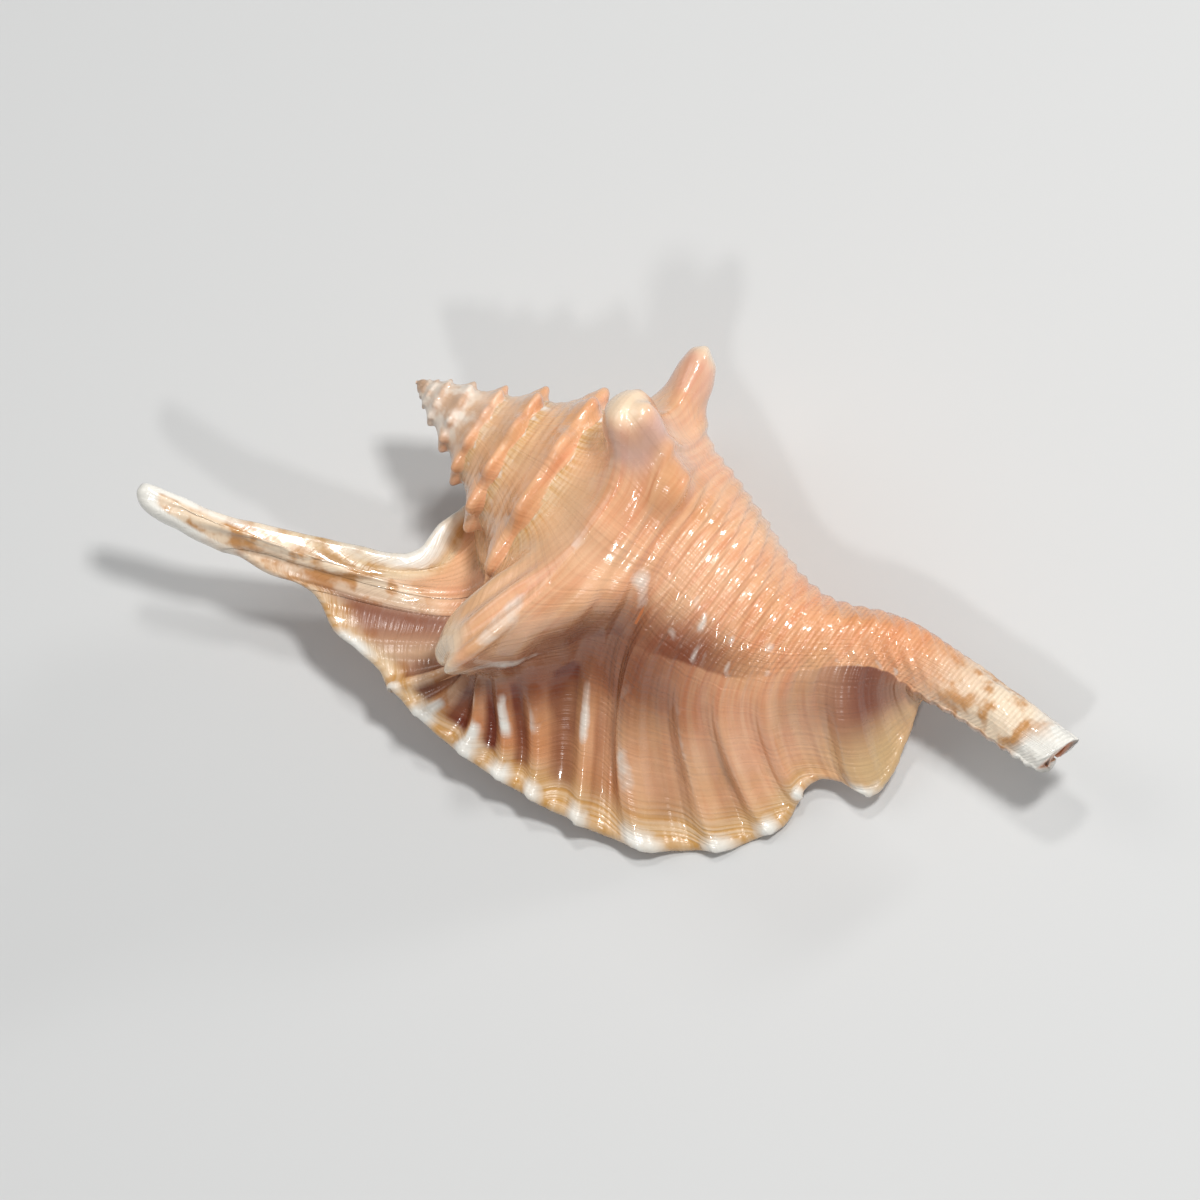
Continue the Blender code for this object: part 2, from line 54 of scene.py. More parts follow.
# The shell is laid out in millimetres on its coiling axis: x runs from the apex to the canal,
# angles go round with growth, 0 at the back, 90 at the lip's side and 180 underneath.
whorls = {
    "growth": 1.46,
    "count": 9,
    "outlineAngle": -80,
    "outline": [(18, 0), (20, 5), (22, 9.5), (24, 12.9), (25, 13.9), (26.5, 14.5), (28, 15.4), (30, 17.2),
                (32, 19.3), (34, 21.2), (35.2, 21.6), (36.5, 21), (38, 20.3), (40, 19.7), (45, 18.7),
                (50, 17.4), (55, 15.8), (60, 13.9), (65, 12), (70, 10.2), (75, 8.4), (80, 6.8), (85, 5.5),
                (90, 4.8), (95, 4.5), (105, 4.2), (118, 3.6)],
    "sutureClimb": [(-200, 0), (10, 0), (40, 0.6), (70, 2), (100, 4.4), (125, 8.5), (150, 13.5), (165, 17),
                    (190, 18)],
    "tipWear": [(-1.3, 1.34), (0, 1.35), (1.4, 1.45), (3.2, 1.6), (6.5, 0.9), (11, 0), (16, 0)],
    "keelPlace": 34.8, "keelWidth": 2.9, "nodeStep": 36, "nodeSize": 0.15,
    "nodeFade": (-60, -200), "nodeScale": (0, 0.25), "barePlace": 40.0,
}

canal = {
    "side": [(0, 0.35), (64, 0.35), (70, 1.6), (75, 4.5), (80, 8.3), (85, 10.7), (90, 11.8), (96, 12.1),
             (120, 12.2)],
    "rise": [(0, 0), (66, 0), (75, 0.8), (85, 3.6), (95, 7), (105, 10), (118, 13)],
    "bore": [(85, 4.6), (90, 3.9), (100, 3.5), (110, 3.3), (117, 2.9)],
    "wrap": 146, "wrapAhead": 0.3, "slant": 0.32, "slantSpan": (106, 115), "boreWay": -150,
}

# angle, x, half width round the shell and along it, height, lean along x, lean round, steepness
knobs = [(-70, 36.0, 3.8, 3.0, 10.0, -2.4, 0.5, 3.2),
         (-24, 37.4, 4.5, 4.0, 9.4, -5.6, 1.8, 4.4),
         (-26, 41.8, 2.9, 2.5, 3.8, -1.2, 0.8, 3.2),
         (69, 36.8, 8.8, 5.2, 11.8, -5.2, 4.5, 5.6),
         (55, 42.0, 8.5, 3.7, 7.4, -2.2, 3.0, 5.0),
         (72, 46.6, 8.0, 3.0, -3.0, 0.0, 0.0, 2.2),
         (50, 50.0, 7.0, 2.8, -1.6, 0.0, 0.0, 2.2),
         (-18, 44.8, 3.0, 2.2, 3.4, 0.3, 0.0, 3.4),
         (38, 46.6, 3.4, 2.3, 4.6, 0.5, 1.2, 3.4),
         (-112, 33.5, 3.6, 3.0, 5.4, -1.6, 0.0, 2.6),
         (-142, 31.5, 3.2, 2.8, 5.5, -1.2, 0.0, 2.6)]
knobShape = {"radius": 20.0, "reach": 4.2, "full": 1.6}

lip = {
    # growth line number, x of its root, angle of its root, then its end on the margin: x, y, z
    "lines": [
        (0, 15.3, 165, 15.3, -3.6, -9.9), (1, 16.0, 158, 16.3, -6.5, -10.0),
        (2, 17.0, 150, 15.9, -9.3, -9.8), (3, 18.2, 144, 14.8, -13.6, -9.2),
        (5, 19.6, 138, 14.6, -19.2, -8.8), (6, 20.4, 134, 12.4, -21.6, -8.4),
        (7, 21.4, 130, 5.3, -25.2, -7.6), (8, 22.2, 126, -2.5, -29.0, -7.0),
        (9, 22.9, 123, -12.1, -33.6, -6.2), (10, 23.7, 120, -22.6, -37.0, -4.8),
        (11, 24.6, 116, -24.4, -39.0, -4.5), (12, 25.6, 113, -22.4, -40.7, -5.0),
        (13, 26.7, 110, -14.2, -39.5, -6.6), (14, 27.8, 107, -6.9, -37.2, -7.8),
        (15, 28.8, 105, -0.8, -36.1, -8.2), (16, 29.9, 103, 4.6, -34.6, -8.6),
        (17, 30.9, 101, 7.9, -34.9, -8.9), (18, 31.8, 100, 11.8, -36.8, -9.0),
        (19, 32.9, 99, 17.1, -37.5, -9.2), (20, 34.1, 98, 22.0, -37.8, -9.2),
        (21, 35.0, 97, 24.8, -39.2, -9.0), (22, 36.2, 95, 28.9, -39.6, -9.0),
        (23, 37.5, 92, 34.7, -40.3, -9.0), (24, 38.9, 89, 39.3, -40.3, -9.0),
        (25, 40.8, 84, 46.0, -40.0, -9.0), (26, 43.2, 78, 52.3, -39.3, -9.0),
        (27, 46.6, 69, 59.7, -38.0, -9.0), (28, 50.0, 61, 64.6, -36.8, -9.0),
        (29, 54.2, 55, 70.5, -35.2, -9.0), (30, 58.4, 51, 76.0, -31.3, -8.8),
        (31, 62.4, 48, 81.0, -27.6, -8.4), (32, 66.4, 47, 84.7, -22.2, -7.8),
        (33, 69.6, 45, 86.7, -18.0, -7.0), (34, 72.0, 43, 86.2, -14.7, -6.0),
        (35, 74.3, 41, 86.2, -11.5, -4.8), (36, 76.8, 39, 88.9, -9.2, -3.8),
        (37, 79.0, 37, 91.8, -8.6, -3.4), (38, 81.2, 36, 94.8, -7.2, -3.2),
        (39, 83.8, 38, 95.6, -3.4, -2.2), (40, 86.6, 44, 94.5, 1.4, -0.6),
        (41, 89.6, 55, 93.3, 6.2, 1.8)],
    # by line number: how a line leaves the whorl, how it arrives at the margin, and how thick it is
    "leaveDip": [(0, 5), (2, 5), (7, 10), (11, 18), (15, 28), (23, 42), (24, 47), (25, 56), (27, 57),
                 (28, 53), (34, 44), (35, 42), (37, 41), (38, 42), (41, 60)],
    "leaveRun": [(0, 1.2), (3, 10), (6, 17), (10, 33), (11.5, 35), (16, 23), (18, 21.8), (22, 17.2),
                 (25, 17.2), (28, 16.5), (31, 14.5), (34, 9.4), (36, 8), (39, 8), (41, 5.5)],
    "heading": [(0, 96), (1, 108), (2, 135), (3, 174), (7, 204), (8, 201), (10, 186), (11, 169), (12, 156),
                (18, 149), (20, 131), (22, 120), (24, 90), (26, 74), (27, 69), (28, 56), (29, 41), (31, 37),
                (33, 12), (35, 6), (36, 24), (38, 30), (40, 18), (41, 37)],
    "arriveRise": [(0, -0.3), (2, 0.1), (11, 0.1), (14, 0), (35, 0.04), (36, -0.1), (40, -0.1), (41, -1.4)],
    "arriveRun": [(0, 1.2), (3, 9), (6, 11), (8, 24), (10, 40), (11, 42), (12, 40), (14, 25), (16, 18),
                  (22, 16), (25, 20), (29, 26), (33, 17), (35, 12), (39, 11), (41, 6)],
    "thickness": [(0, 0.8), (1, 1.1), (2, 1.4), (7, 2), (9, 2.8), (12, 3), (14, 2.5), (17, 1.9), (22, 2),
                  (31, 2), (41, 1.6)],
    # ribs: growth line, half width in lines, height
    "ribs": [(18.6, 0.9, 1.2), (21.0, 0.42, 2.0), (22.35, 0.42, 2.1), (24.05, 0.42, 2.5), (25.05, 0.34, 2.3),
             (26.0, 0.32, 2.5), (27.1, 0.42, 2.9), (29.0, 0.62, 3.1), (30.85, 0.5, 3.0), (32.2, 0.42, 2.6),
             (34.2, 0.4, 1.6), (37.6, 0.9, 2.4)],
    # the long finger at the rear, the ribs' form, and the scallops of the margin; a span goes from
    # nothing to full, across the lip from 0 at its root to 1 at its margin, or by line number
    "fingerLine": 11.2, "fingerWidth": 2.6, "fingerHeight": 3.0, "fingerUp": (-0.05, 0.12, 0.99),
    "fingerSpan": (0.1, 0.5), "fingerDrop": 0.45, "fingerDropSpan": (0.6, 1),
    "fingerReach": 4.6, "fingerUpSpan": (0.1, 0.35),
    "ribSides": (0.72, 1.25), "ribPower": 1.7, "ribSpan": (0.06, 0.5),
    "ribDrop": 0.25, "ribDropSpan": (0.75, 1),
    "valley": 1.3, "valleyLines": (20, 24, 31, 34), "scallop": 0.7, "scallopRib": 2.4, "scallopInset": 0.25,
    "scallopLines": (19, 23), "scallopSpan": (0.7, 1),
    "rootsBefore": [(-5, 165)], "rootsAfter": [(95, 62), (120, 64)],
    "rootSoftness": 17.0, "rootRounds": 160, "rootSpan": (36, 46, 86, 94),
    "canalBlend": 4, "canalLine": 40, "underTurn": 0.3,
}

groove = {
    "radius": [(30, 19), (34, 21.5), (38, 20.5), (40, 19.5), (45, 18), (50, 18.2), (55, 18.4), (60, 17.9),
               (65, 16.4), (70, 14.3), (75, 12), (80, 9.8), (85, 7.4), (90, 5.2), (100, 4.4)],
    "span": 85, "grows": (27, 36),
}

# angles in degrees, lengths in mm, spans along x; the skin closes at one angle underneath
aperture = {
    "depth": 88.0, "canalDepth": 55.0, "gap": 3.2, "leastGap": 0.8, "columella": 0.30, "closing": 190,
    "opens": (30.5, 34), "lined": (30.5, 33), "deepens": (31.5, 40), "hollows": (31, 34),
    "gapGrows": (33, 42), "canalDeepens": (78, 96), "becomesCanal": (72, 92), "canalWall": 0.25,
    "roof": (75, 5), "toBack": (110, 190), "toBackLast": (165, 190), "toBackShare": 0.15,
    "outerSteps": 40, "innerSteps": 90,
}
resting = {"roll": -0.2, "pitch": 12.3}

# rows along x as (start, end, count), and points round each row
grid = {
    "spireRows": [(-1.25, 0.2, 5), (0.2, 15.2, 62)],
    "lipRows": [(15.4, 20, 24), (20, 31, 92), (31, 43, 62), (43, 60, 52), (60, 89.6, 66)],
    "canalRows": [(90.2, 115.3, 42)],
    "back": 112, "lip": 60, "margin": 4, "under": 28, "aperture": 34, "backStart": -170, "backEnd": 170,
    # angles of the knobs, with how much closer the points stand there
    "crowded": [(-70, 2.2), (-23, 2.4), (69, 1.6), (50, 1.0), (-112, 0.8), (-142, 0.6)], "crowdWidth": 11.0,
}


def hermite(u, start, leave, end, arrive):
    return ((2 * u**3 - 3 * u**2 + 1) * start + (u**3 - 2 * u**2 + u) * leave
            + (3 * u**2 - 2 * u**3) * end + (u**3 - u**2) * arrive)


def curve(points, x, rounded=False):
    # through all the points, level at its turns, or rounder where it may swing past them
    knots, values = np.array(points, float).T
    step = np.diff(knots)
    slope = np.diff(values) / step
    tangent = np.zeros_like(values)
    if rounded:
        tangent[1:-1] = (slope[:-1] * step[1:] + slope[1:] * step[:-1]) / (step[:-1] + step[1:])
    else:
        sameWay = slope[:-1] * slope[1:] > 0
        total = np.where(sameWay, slope[:-1] + slope[1:], 1.0)
        tangent[1:-1] = np.where(sameWay, 2 * slope[:-1] * slope[1:] / total, 0.0)
    tangent[0], tangent[-1] = slope[0], slope[-1]
    x = np.clip(x, knots[0], knots[-1])
    i = np.clip(np.searchsorted(knots, x) - 1, 0, len(knots) - 2)
    u = (x - knots[i]) / step[i]
    return hermite(u, values[i], step[i] * tangent[i], values[i + 1], step[i] * tangent[i + 1])


def ease(start, end, x):
    u = np.clip((x - start) / (end - start), 0, 1)
    return u * u * (3 - 2 * u)


def window(start, full, fades, gone, x):
    # 0 up to start, 1 from full to fades, and 0 again from gone on
    return ease(start, full, x) * ease(gone, fades, x)


def bump(centre, width, x):
    return np.exp(-((x - centre) / width) ** 2)


def plateau(centre, width, x):
    # as bump, with a flatter top
    return np.exp(-((x - centre) / width) ** 4)


def unit(vectors):
    return vectors / np.maximum(np.linalg.norm(vectors, axis=-1, keepdims=True), 1e-9)


def coil(angle, x):
    # outer radius, with the place on the outline and the size of the whorl that shows there
    shape = np.broadcast(angle, x).shape
    radius, place, size = np.zeros(shape), np.full(shape, whorls["barePlace"]), np.ones(shape)
    distance = x + curve(whorls["tipWear"], x)
    for turn in range(whorls["count"]):
        turned = angle - 360.0 * turn
        scale = whorls["growth"] ** ((turned - whorls["outlineAngle"]) / 360)
        climb = curve(whorls["sutureClimb"], turned) if turn == 0 else 0.0
        here = (distance + climb) / scale
        node = 0.5 + 0.5 * np.cos(np.radians((turned - whorls["outlineAngle"]) * 360 / whorls["nodeStep"]))
        noded = whorls["nodeSize"] * ease(*whorls["nodeFade"], turned) * ease(*whorls["nodeScale"], scale)
        keel = bump(whorls["keelPlace"], whorls["keelWidth"], here)
        out = scale * curve(whorls["outline"], here) * (1 + noded * keel * node)
        shows = out > radius
        radius = np.where(shows, out, radius)
        place = np.where(shows, here, place)
        size = np.where(shows, scale, size)
    return radius, place, size


def onAxis(angle, radius, x):
    a = np.radians(angle)
    side = curve(canal["side"], x) - radius * np.sin(a)
    rise = curve(canal["rise"], x) + radius * np.cos(a)
    return np.stack(np.broadcast_arrays(x, side, rise), -1)


def rootAngle(x):
    roots = [(line[1], line[2]) for line in lip["lines"]]
    return curve(lip["rootsBefore"] + roots + lip["rootsAfter"], x)


def bodyRadius(angle, x):
    lipStart = rootAngle(x)
    sunk = ease(lipStart - groove["span"], lipStart, angle) * ease(*groove["grows"], x)
    places, radii = np.array(groove["radius"], float).T
    return coil(angle, x)[0] * (1 - sunk) + np.interp(x, places, radii) * sunk


def swellOf(knob, angle, x):
    # how far a knob lifts each point, as a share of its height
    at, along, wide, long, height, lean, twist, steep = knob
    away = np.hypot(np.radians(angle - at) * knobShape["radius"] / wide, (x - along) / long)
    return ease(knobShape["reach"], knobShape["full"], away) / (1 + away ** steep)


def backSurface(angle, x):
    angle, x = np.broadcast_arrays(angle, x)
    points = onAxis(angle, bodyRadius(angle, x), x)
    for knob in knobs:
        at, height, lean, twist = knob[0], knob[4], knob[5], knob[6]
        sin, cos = math.sin(math.radians(at)), math.cos(math.radians(at))
        push = np.array([lean, -height * sin - twist * cos, height * cos - twist * sin])
        points = points + swellOf(knob, angle, x)[..., None] * push
    slant = canal["slant"] * ease(*canal["slantSpan"], x)
    points[..., 0] += slant * (points[..., 1] - curve(canal["side"], x))
    return points


def rowsOf(spans):
    ends = [np.linspace(start, end, count, endpoint=False) for start, end, count in spans]
    return np.concatenate(ends + [[spans[-1][1]]])


def crowdedAngles(last, count):
    # more points round the knobs than between them, counted at every quarter of a degree
    fine = np.linspace(grid["backStart"], grid["backEnd"], 4 * (grid["backEnd"] - grid["backStart"]) + 1)
    density = np.ones_like(fine)
    for at, weight in grid["crowded"]:
        density += weight * bump(at, grid["crowdWidth"], fine)
    total = np.concatenate([[0], np.cumsum((density[1:] + density[:-1]) / 2)])
    share = np.linspace(0, 1, count)
    return np.interp(np.interp(last, fine, total)[:, None] * share, total, fine)


def surfaceNormals(points):
    return unit(np.cross(np.gradient(points, axis=1), np.gradient(points, axis=0)))


def evenPoints(path, count):
    out = np.empty((len(path), count, 3))
    for i, row in enumerate(path):
        run = np.concatenate([[0], np.cumsum(np.linalg.norm(np.diff(row, axis=0), axis=1))])
        places = np.linspace(0, run[-1], count + 2)[1:-1]
        out[i] = np.stack([np.interp(places, run, row[:, axis]) for axis in range(3)], -1)
    return out


def lipFrame(x):
    # where each growth line ends, the ways it leaves and arrives, its number and thickness
    lines = np.array(lip["lines"], float)
    key = lines[:, 1]
    place = np.clip(x, key[0], key[-1])
    number = curve(np.stack([key, lines[:, 0]], 1), place)
    margin = np.stack([curve(np.stack([key, lines[:, c]], 1), place, rounded=True) for c in (3, 4, 5)], -1)
    free = ease(key[-1], key[-1] + lip["canalBlend"], x)[:, None]
    dip = np.radians(curve(lip["leaveDip"], number))
    leave = np.stack([0 * dip, -np.cos(dip), -np.sin(dip)], -1) * curve(lip["leaveRun"], number)[:, None]
    heading = np.radians(curve(lip["heading"], number, rounded=True))
    way = unit(np.stack([np.cos(heading), -np.sin(heading), curve(lip["arriveRise"], number)], -1))
    arrive = way * curve(lip["arriveRun"], number)[:, None]
    bore = np.interp(x, *np.array(canal["bore"], float).T)    # past the lip the lines wrap the canal
    wrapped = onAxis(canal["wrap"], bore, x + canal["wrapAhead"])
    a, wrap = np.radians(rootAngle(x)), math.radians(canal["wrap"])
    pull = (4 * bore * np.tan((wrap - a) / 4))[:, None]
    leaveCanal = np.stack([0 * a, -np.cos(a), -np.sin(a)], -1) * pull
    arriveCanal = np.array([0, -math.cos(wrap), -math.sin(wrap)]) * pull
    margin = margin * (1 - free) + wrapped * free
    leave = leave * (1 - free) + leaveCanal * free
    arrive = arrive * (1 - free) + arriveCanal * free
    thickness = curve(lip["thickness"], number)
    margin = margin - unit(arrive) * (thickness[:, None] / 2 * (1 - free))
    return number, margin, leave, arrive, thickness, free


def ribShape(number, line, width):
    # 1 on a rib's crest, falling faster towards the apex side
    side = np.where(number < line, *lip["ribSides"])
    return np.exp(-np.abs((number - line) / (width * side)) ** lip["ribPower"])


def ribShare(number):
    # 1 on a rib's crest and 0 in the valleys
    return sum(ribShape(number, line, width) for line, width, height in lip["ribs"])


def lipRelief(number, u, free):
    # how far the ribs, the valleys and the finger rise, and how far the margin's scallops reach
    number = number[:, None]
    rise = np.zeros((len(number), len(u)))
    reach = np.zeros_like(rise)
    leaving = ease(*lip["ribSpan"], u)
    for line, width, height in lip["ribs"]:
        rib = ribShape(number, line, width)
        rise += height * rib * leaving * (1 - lip["ribDrop"] * ease(*lip["ribDropSpan"], u))
        reach += lip["scallop"] * height / lip["scallopRib"] * rib
    rise -= lip["valley"] * leaving * window(*lip["valleyLines"], number)
    finger = lip["fingerHeight"] * bump(lip["fingerLine"], lip["fingerWidth"], number)
    rise += finger * ease(*lip["fingerSpan"], u) * (1 - lip["fingerDrop"] * ease(*lip["fingerDropSpan"], u))
    reach = (reach - lip["scallopInset"]) * ease(*lip["scallopLines"], number) * ease(*lip["scallopSpan"], u)
    return rise * (1 - free), reach * (1 - free)


def roundRoot(back, points, x):
    # soften the line where the lip leaves the whorl
    joined = np.concatenate([back, points], 1)
    place = np.arange(1, joined.shape[1] - 1)
    near = bump(back.shape[1], lip["rootSoftness"], place)
    weight = (near * window(*lip["rootSpan"], x)[:, None])[..., None]
    for _ in range(lip["rootRounds"]):
        joined[:, 1:-1] += weight * ((joined[:, :-2] + joined[:, 2:]) / 2 - joined[:, 1:-1])
    return joined[:, :back.shape[1]], joined[:, back.shape[1]:]


def lipSurface(back, x, u):
    number, margin, leave, arrive, thickness, free = lipFrame(x)
    points = hermite(u[None, :, None], *[part[:, None] for part in (back[:, -1], leave, margin, arrive)])
    onFinger = plateau(lip["fingerLine"], lip["fingerReach"], number[:, None])
    onFinger = (onFinger * ease(*lip["fingerUpSpan"], u))[..., None]

    def outward(shape):
        normals = surfaceNormals(np.concatenate([back[:, -2:], shape], 1))[:, 2:]
        return unit(normals * (1 - onFinger) + np.array(lip["fingerUp"]) * onFinger)

    rise, reach = lipRelief(number, u, free)
    points = points + outward(points) * rise[..., None] + unit(arrive)[:, None] * reach[..., None]
    back, points = roundRoot(back, points, x)
    return back, points, outward(points), unit(arrive), thickness, free, number


def lipUnderside(root, rootNormal, outer, normals, u, thickness, count):
    u = np.concatenate([[0], u])
    turn = ease(0, lip["underTurn"], u)[:, None]
    facing = unit(rootNormal * (1 - turn) + np.concatenate([rootNormal[None], normals]) * turn)
    inner = np.concatenate([root[None], outer]) - facing * thickness
    places = np.linspace(1, 0, count + 1)
    return np.stack([np.interp(places, u, inner[:, axis]) for axis in range(3)], -1)


def roundedMargin(outer, inner, way, count):
    angles = np.pi * np.arange(1, count + 1)[:, None] / (count + 1)
    half = (outer - inner) / 2
    return (outer + inner) / 2 + half * np.cos(angles) + way * np.linalg.norm(half) * np.sin(angles)


def aperturePath(x, start, thickness, free, root, backFirst):
    # from the lip's root into the aperture, round its inner wall and back to the first column
    x, start, root, closing = x[:, None], start[:, None], root[:, None], aperture["closing"]
    depth = aperture["depth"] * ease(*aperture["deepens"], x)
    depth = depth + aperture["canalDepth"] * ease(*aperture["canalDeepens"], x)
    wall = thickness[:, None] * (1 - aperture["canalWall"] * free)
    outerAngle = start - depth * np.linspace(0, 1, aperture["outerSteps"])
    outer = onAxis(outerAngle, bodyRadius(outerAngle, x) - wall, x)
    innerAngle = (start - depth) + (closing - start + depth) * np.linspace(0, 1, aperture["innerSteps"])
    inCanal = ease(*aperture["becomesCanal"], x)
    least = aperture["leastGap"]
    gap = least + (aperture["gap"] - least) * ease(*aperture["gapGrows"], x)
    room = bodyRadius(np.minimum(innerAngle, start), x) - wall - gap
    roof, roofEnd = aperture["roof"]
    roofed = ease(start + roof, start + roofEnd, innerAngle) * ease(*aperture["hollows"], x)
    radius = coil(innerAngle - 360, x)[0]
    radius = np.maximum(np.minimum(radius, room) * roofed + radius * (1 - roofed), least)
    bore = np.interp(x, *np.array(canal["bore"], float).T)
    radius = radius * (1 - inCanal) + aperture["columella"] * bore * inCanal
    inner = onAxis(innerAngle, radius, x) + onAxis(canal["boreWay"], bore / 2 * inCanal, x) - onAxis(0, 0, x)
    share = aperture["toBackShare"]
    toBack = ease(*aperture["toBack"], innerAngle) * (share + (1 - share) * inCanal)
    toBack = np.maximum(toBack, ease(*aperture["toBackLast"], innerAngle))[..., None]
    inner = inner * (1 - toBack) + backFirst[:, None] * toBack
    steps = aperture["outerSteps"] + aperture["innerSteps"]
    solidAngle = root + (closing - root) * np.linspace(0, 1, steps)
    solid = onAxis(solidAngle, coil(solidAngle - 360, x)[0], x)
    openPart = ease(*aperture["opens"], x)[..., None]
    return solid * (1 - openPart) + np.concatenate([outer, inner], 1) * openPart


def ridges(places, spacing, sharp=1.5):
    return (0.5 + 0.5 * np.cos(2 * np.pi * places / spacing)) ** sharp


def wander(first, second, seed, detail=6):
    # a smooth irregular field between about -1 and 1
    draw = np.random.default_rng(seed)
    total = 0
    for step in range(detail):
        turn, phase = draw.uniform(0, 2 * np.pi, 2)
        pace = draw.uniform(0.6, 1.8)
        total = total + np.sin(pace * (first * math.cos(turn) + second * math.sin(turn)) + phase)
    return total / detail ** 0.5 / 1.2


# A part of the relief, or a marking, is a height or strength, the region that it lies on, and its
# shape along some of the fields: x in mm, the angle, the growth line, u from the lip's root to its
# margin, and the place on the whorl's outline. ease goes from nothing to full between two values,
# window fades out again after them, and bump and plateau are stripes: middle and half width.
relief = {
    "knobHead": (0.8, "coil", [(window, "swell", 0.3, 0.7, 0.86, 1)]),
    "cords": (0.42, "all", [(ease, "place", 37.5, 40.5)]),
    "hood": (1.0, "coil", [(window, "swell", 0.04, 0.4, 0.6, 1.1)]),
    "spireThreads": (0.16, "size", [(ease, "size", 0.9, 0.7)]),
    "axialFolds": (0.10, "size", [(bump, "place", 25.6, 1.5), (ease, "x", 30, 20)]),
    "marginRidges": (0.07, "lip", [(ease, "u", 0.72, 0.86), (ease, "line", 15, 20)]),
    "finger": (0.22, "lip", [(bump, "line", 11.2, 3.2), (ease, "u", 0.1, 0.4)]),
    "canalEnd": (0.18, "coil", [(ease, "x", 84, 94)]),
    "allOver": (0.10, "all", [(ease, "x", 20, 30)]),
}

# mm from ridge to ridge, then how the cords waver and fade: loss, where it starts, where it is full
spacing = {"cords": 2.35, "hood": 3.4, "spireThreads": 1.9, "axialFolds": 3.2, "marginRidges": 0.95}
cordShape = {
    "waver": 0.25, "vary": 0.35, "between": 0.35, "betweenShift": 0.8, "hoodTwist": 0.02, "hoodSharp": 1.2,
    "onLip": (0.35, 0.05, 0.3), "nearMargin": (0.4, 0.7, 1), "onCanal": (0.75, 80, 96),
}

# smooth irregular fields: two fields, the length over which each varies, and a seed
uneven = {
    "cordWaver": ("angle", 14, "place", 9, 3), "cordHeight": ("angle", 9, "place", 3, 5),
    "finger": ("growth", 1.5, "line", 1 / 2.2, 9), "canalEnd": ("x", 1.7, "angle", 16, 11),
    "allOver": ("growth", 3.2, "place", 2.6, 13), "worn": ("angle", 30, "x", 2, 31),
    "valley": ("line", 1 / 1.9, "u", 1 / 8, 51), "crests": ("line", 1 / 2.3, "u", 1 / 9, 21),
    "dashes": ("angle", 5, "place", 1 / 1.3, 41), "blaze": ("angle", 7, "place", 1.5, 43),
    "flecks": ("angle", 4, "place", 1, 47),
}

# small lumps and shallow hollows beside the first knob, as in knobs above
lobes = [(-12, 43.6, 2.4, 2.6, 1.5, 0, 0, 3.4), (-25, 41.0, 1.4, 1.6, 0.9, 0, 0, 3.2),
         (20, 39.5, 2.2, 9.0, -0.8, 0, 0, 3.0), (5, 36.5, 2.0, 6.0, -0.6, 0, 0, 3.0)]


def spread(part, f):
    # how high or strong a part is at every point
    share, region, shapes = part
    share = share * f[region]
    for shape, field, *values in shapes:
        share = share * shape(*values, f[field])
    return share


def varied(name, f):
    first, firstLength, second, secondLength, seed = uneven[name]
    return wander(f[first] / firstLength, f[second] / secondLength, seed)


def fineRelief(f):
    # raised cords, folds and growth ridges of the outside, in millimetres
    angle, place, x = f["angle"], f["place"], f["x"]
    raised = np.zeros_like(x)
    for knob in knobs[:2]:    # the two tall knobs have blunt heads
        f["swell"] = swellOf(knob, angle, x)
        raised += spread(relief["knobHead"], f)
    for lump in lobes:
        raised += lump[4] * swellOf(lump, angle, x) * f["coil"]
    cords = ridges(place + cordShape["waver"] * varied("cordWaver", f), spacing["cords"])
    between = ridges(place + cordShape["betweenShift"], spacing["cords"] / 2)
    cords = cords + cordShape["between"] * between
    fading = 1
    for name in ("onLip", "nearMargin"):
        loss, start, full = cordShape[name]
        fading = fading - loss * ease(start, full, f["u"])
    loss, start, full = cordShape["onCanal"]
    fading = fading * (1 - loss * ease(start, full, x) * f["coil"])
    cords = cords * fading * (1 + cordShape["vary"] * varied("cordHeight", f))
    raised += spread(relief["cords"], f) * cords
    f["swell"] = swellOf(knobs[3], angle, x)    # the hood
    folds = ridges(x + cordShape["hoodTwist"] * angle, spacing["hood"], cordShape["hoodSharp"])
    raised += spread(relief["hood"], f) * folds
    for name, along in (("spireThreads", "place"), ("axialFolds", "angle"), ("marginRidges", "growth")):
        raised += spread(relief[name], f) * ridges(f[along], spacing[name])
    for name in ("finger", "canalEnd", "allOver"):
        raised += spread(relief[name], f) * varied(name, f)
    return raised * f["outside"]


growthPerDegree = 0.35    # mm of growth to a degree of the back


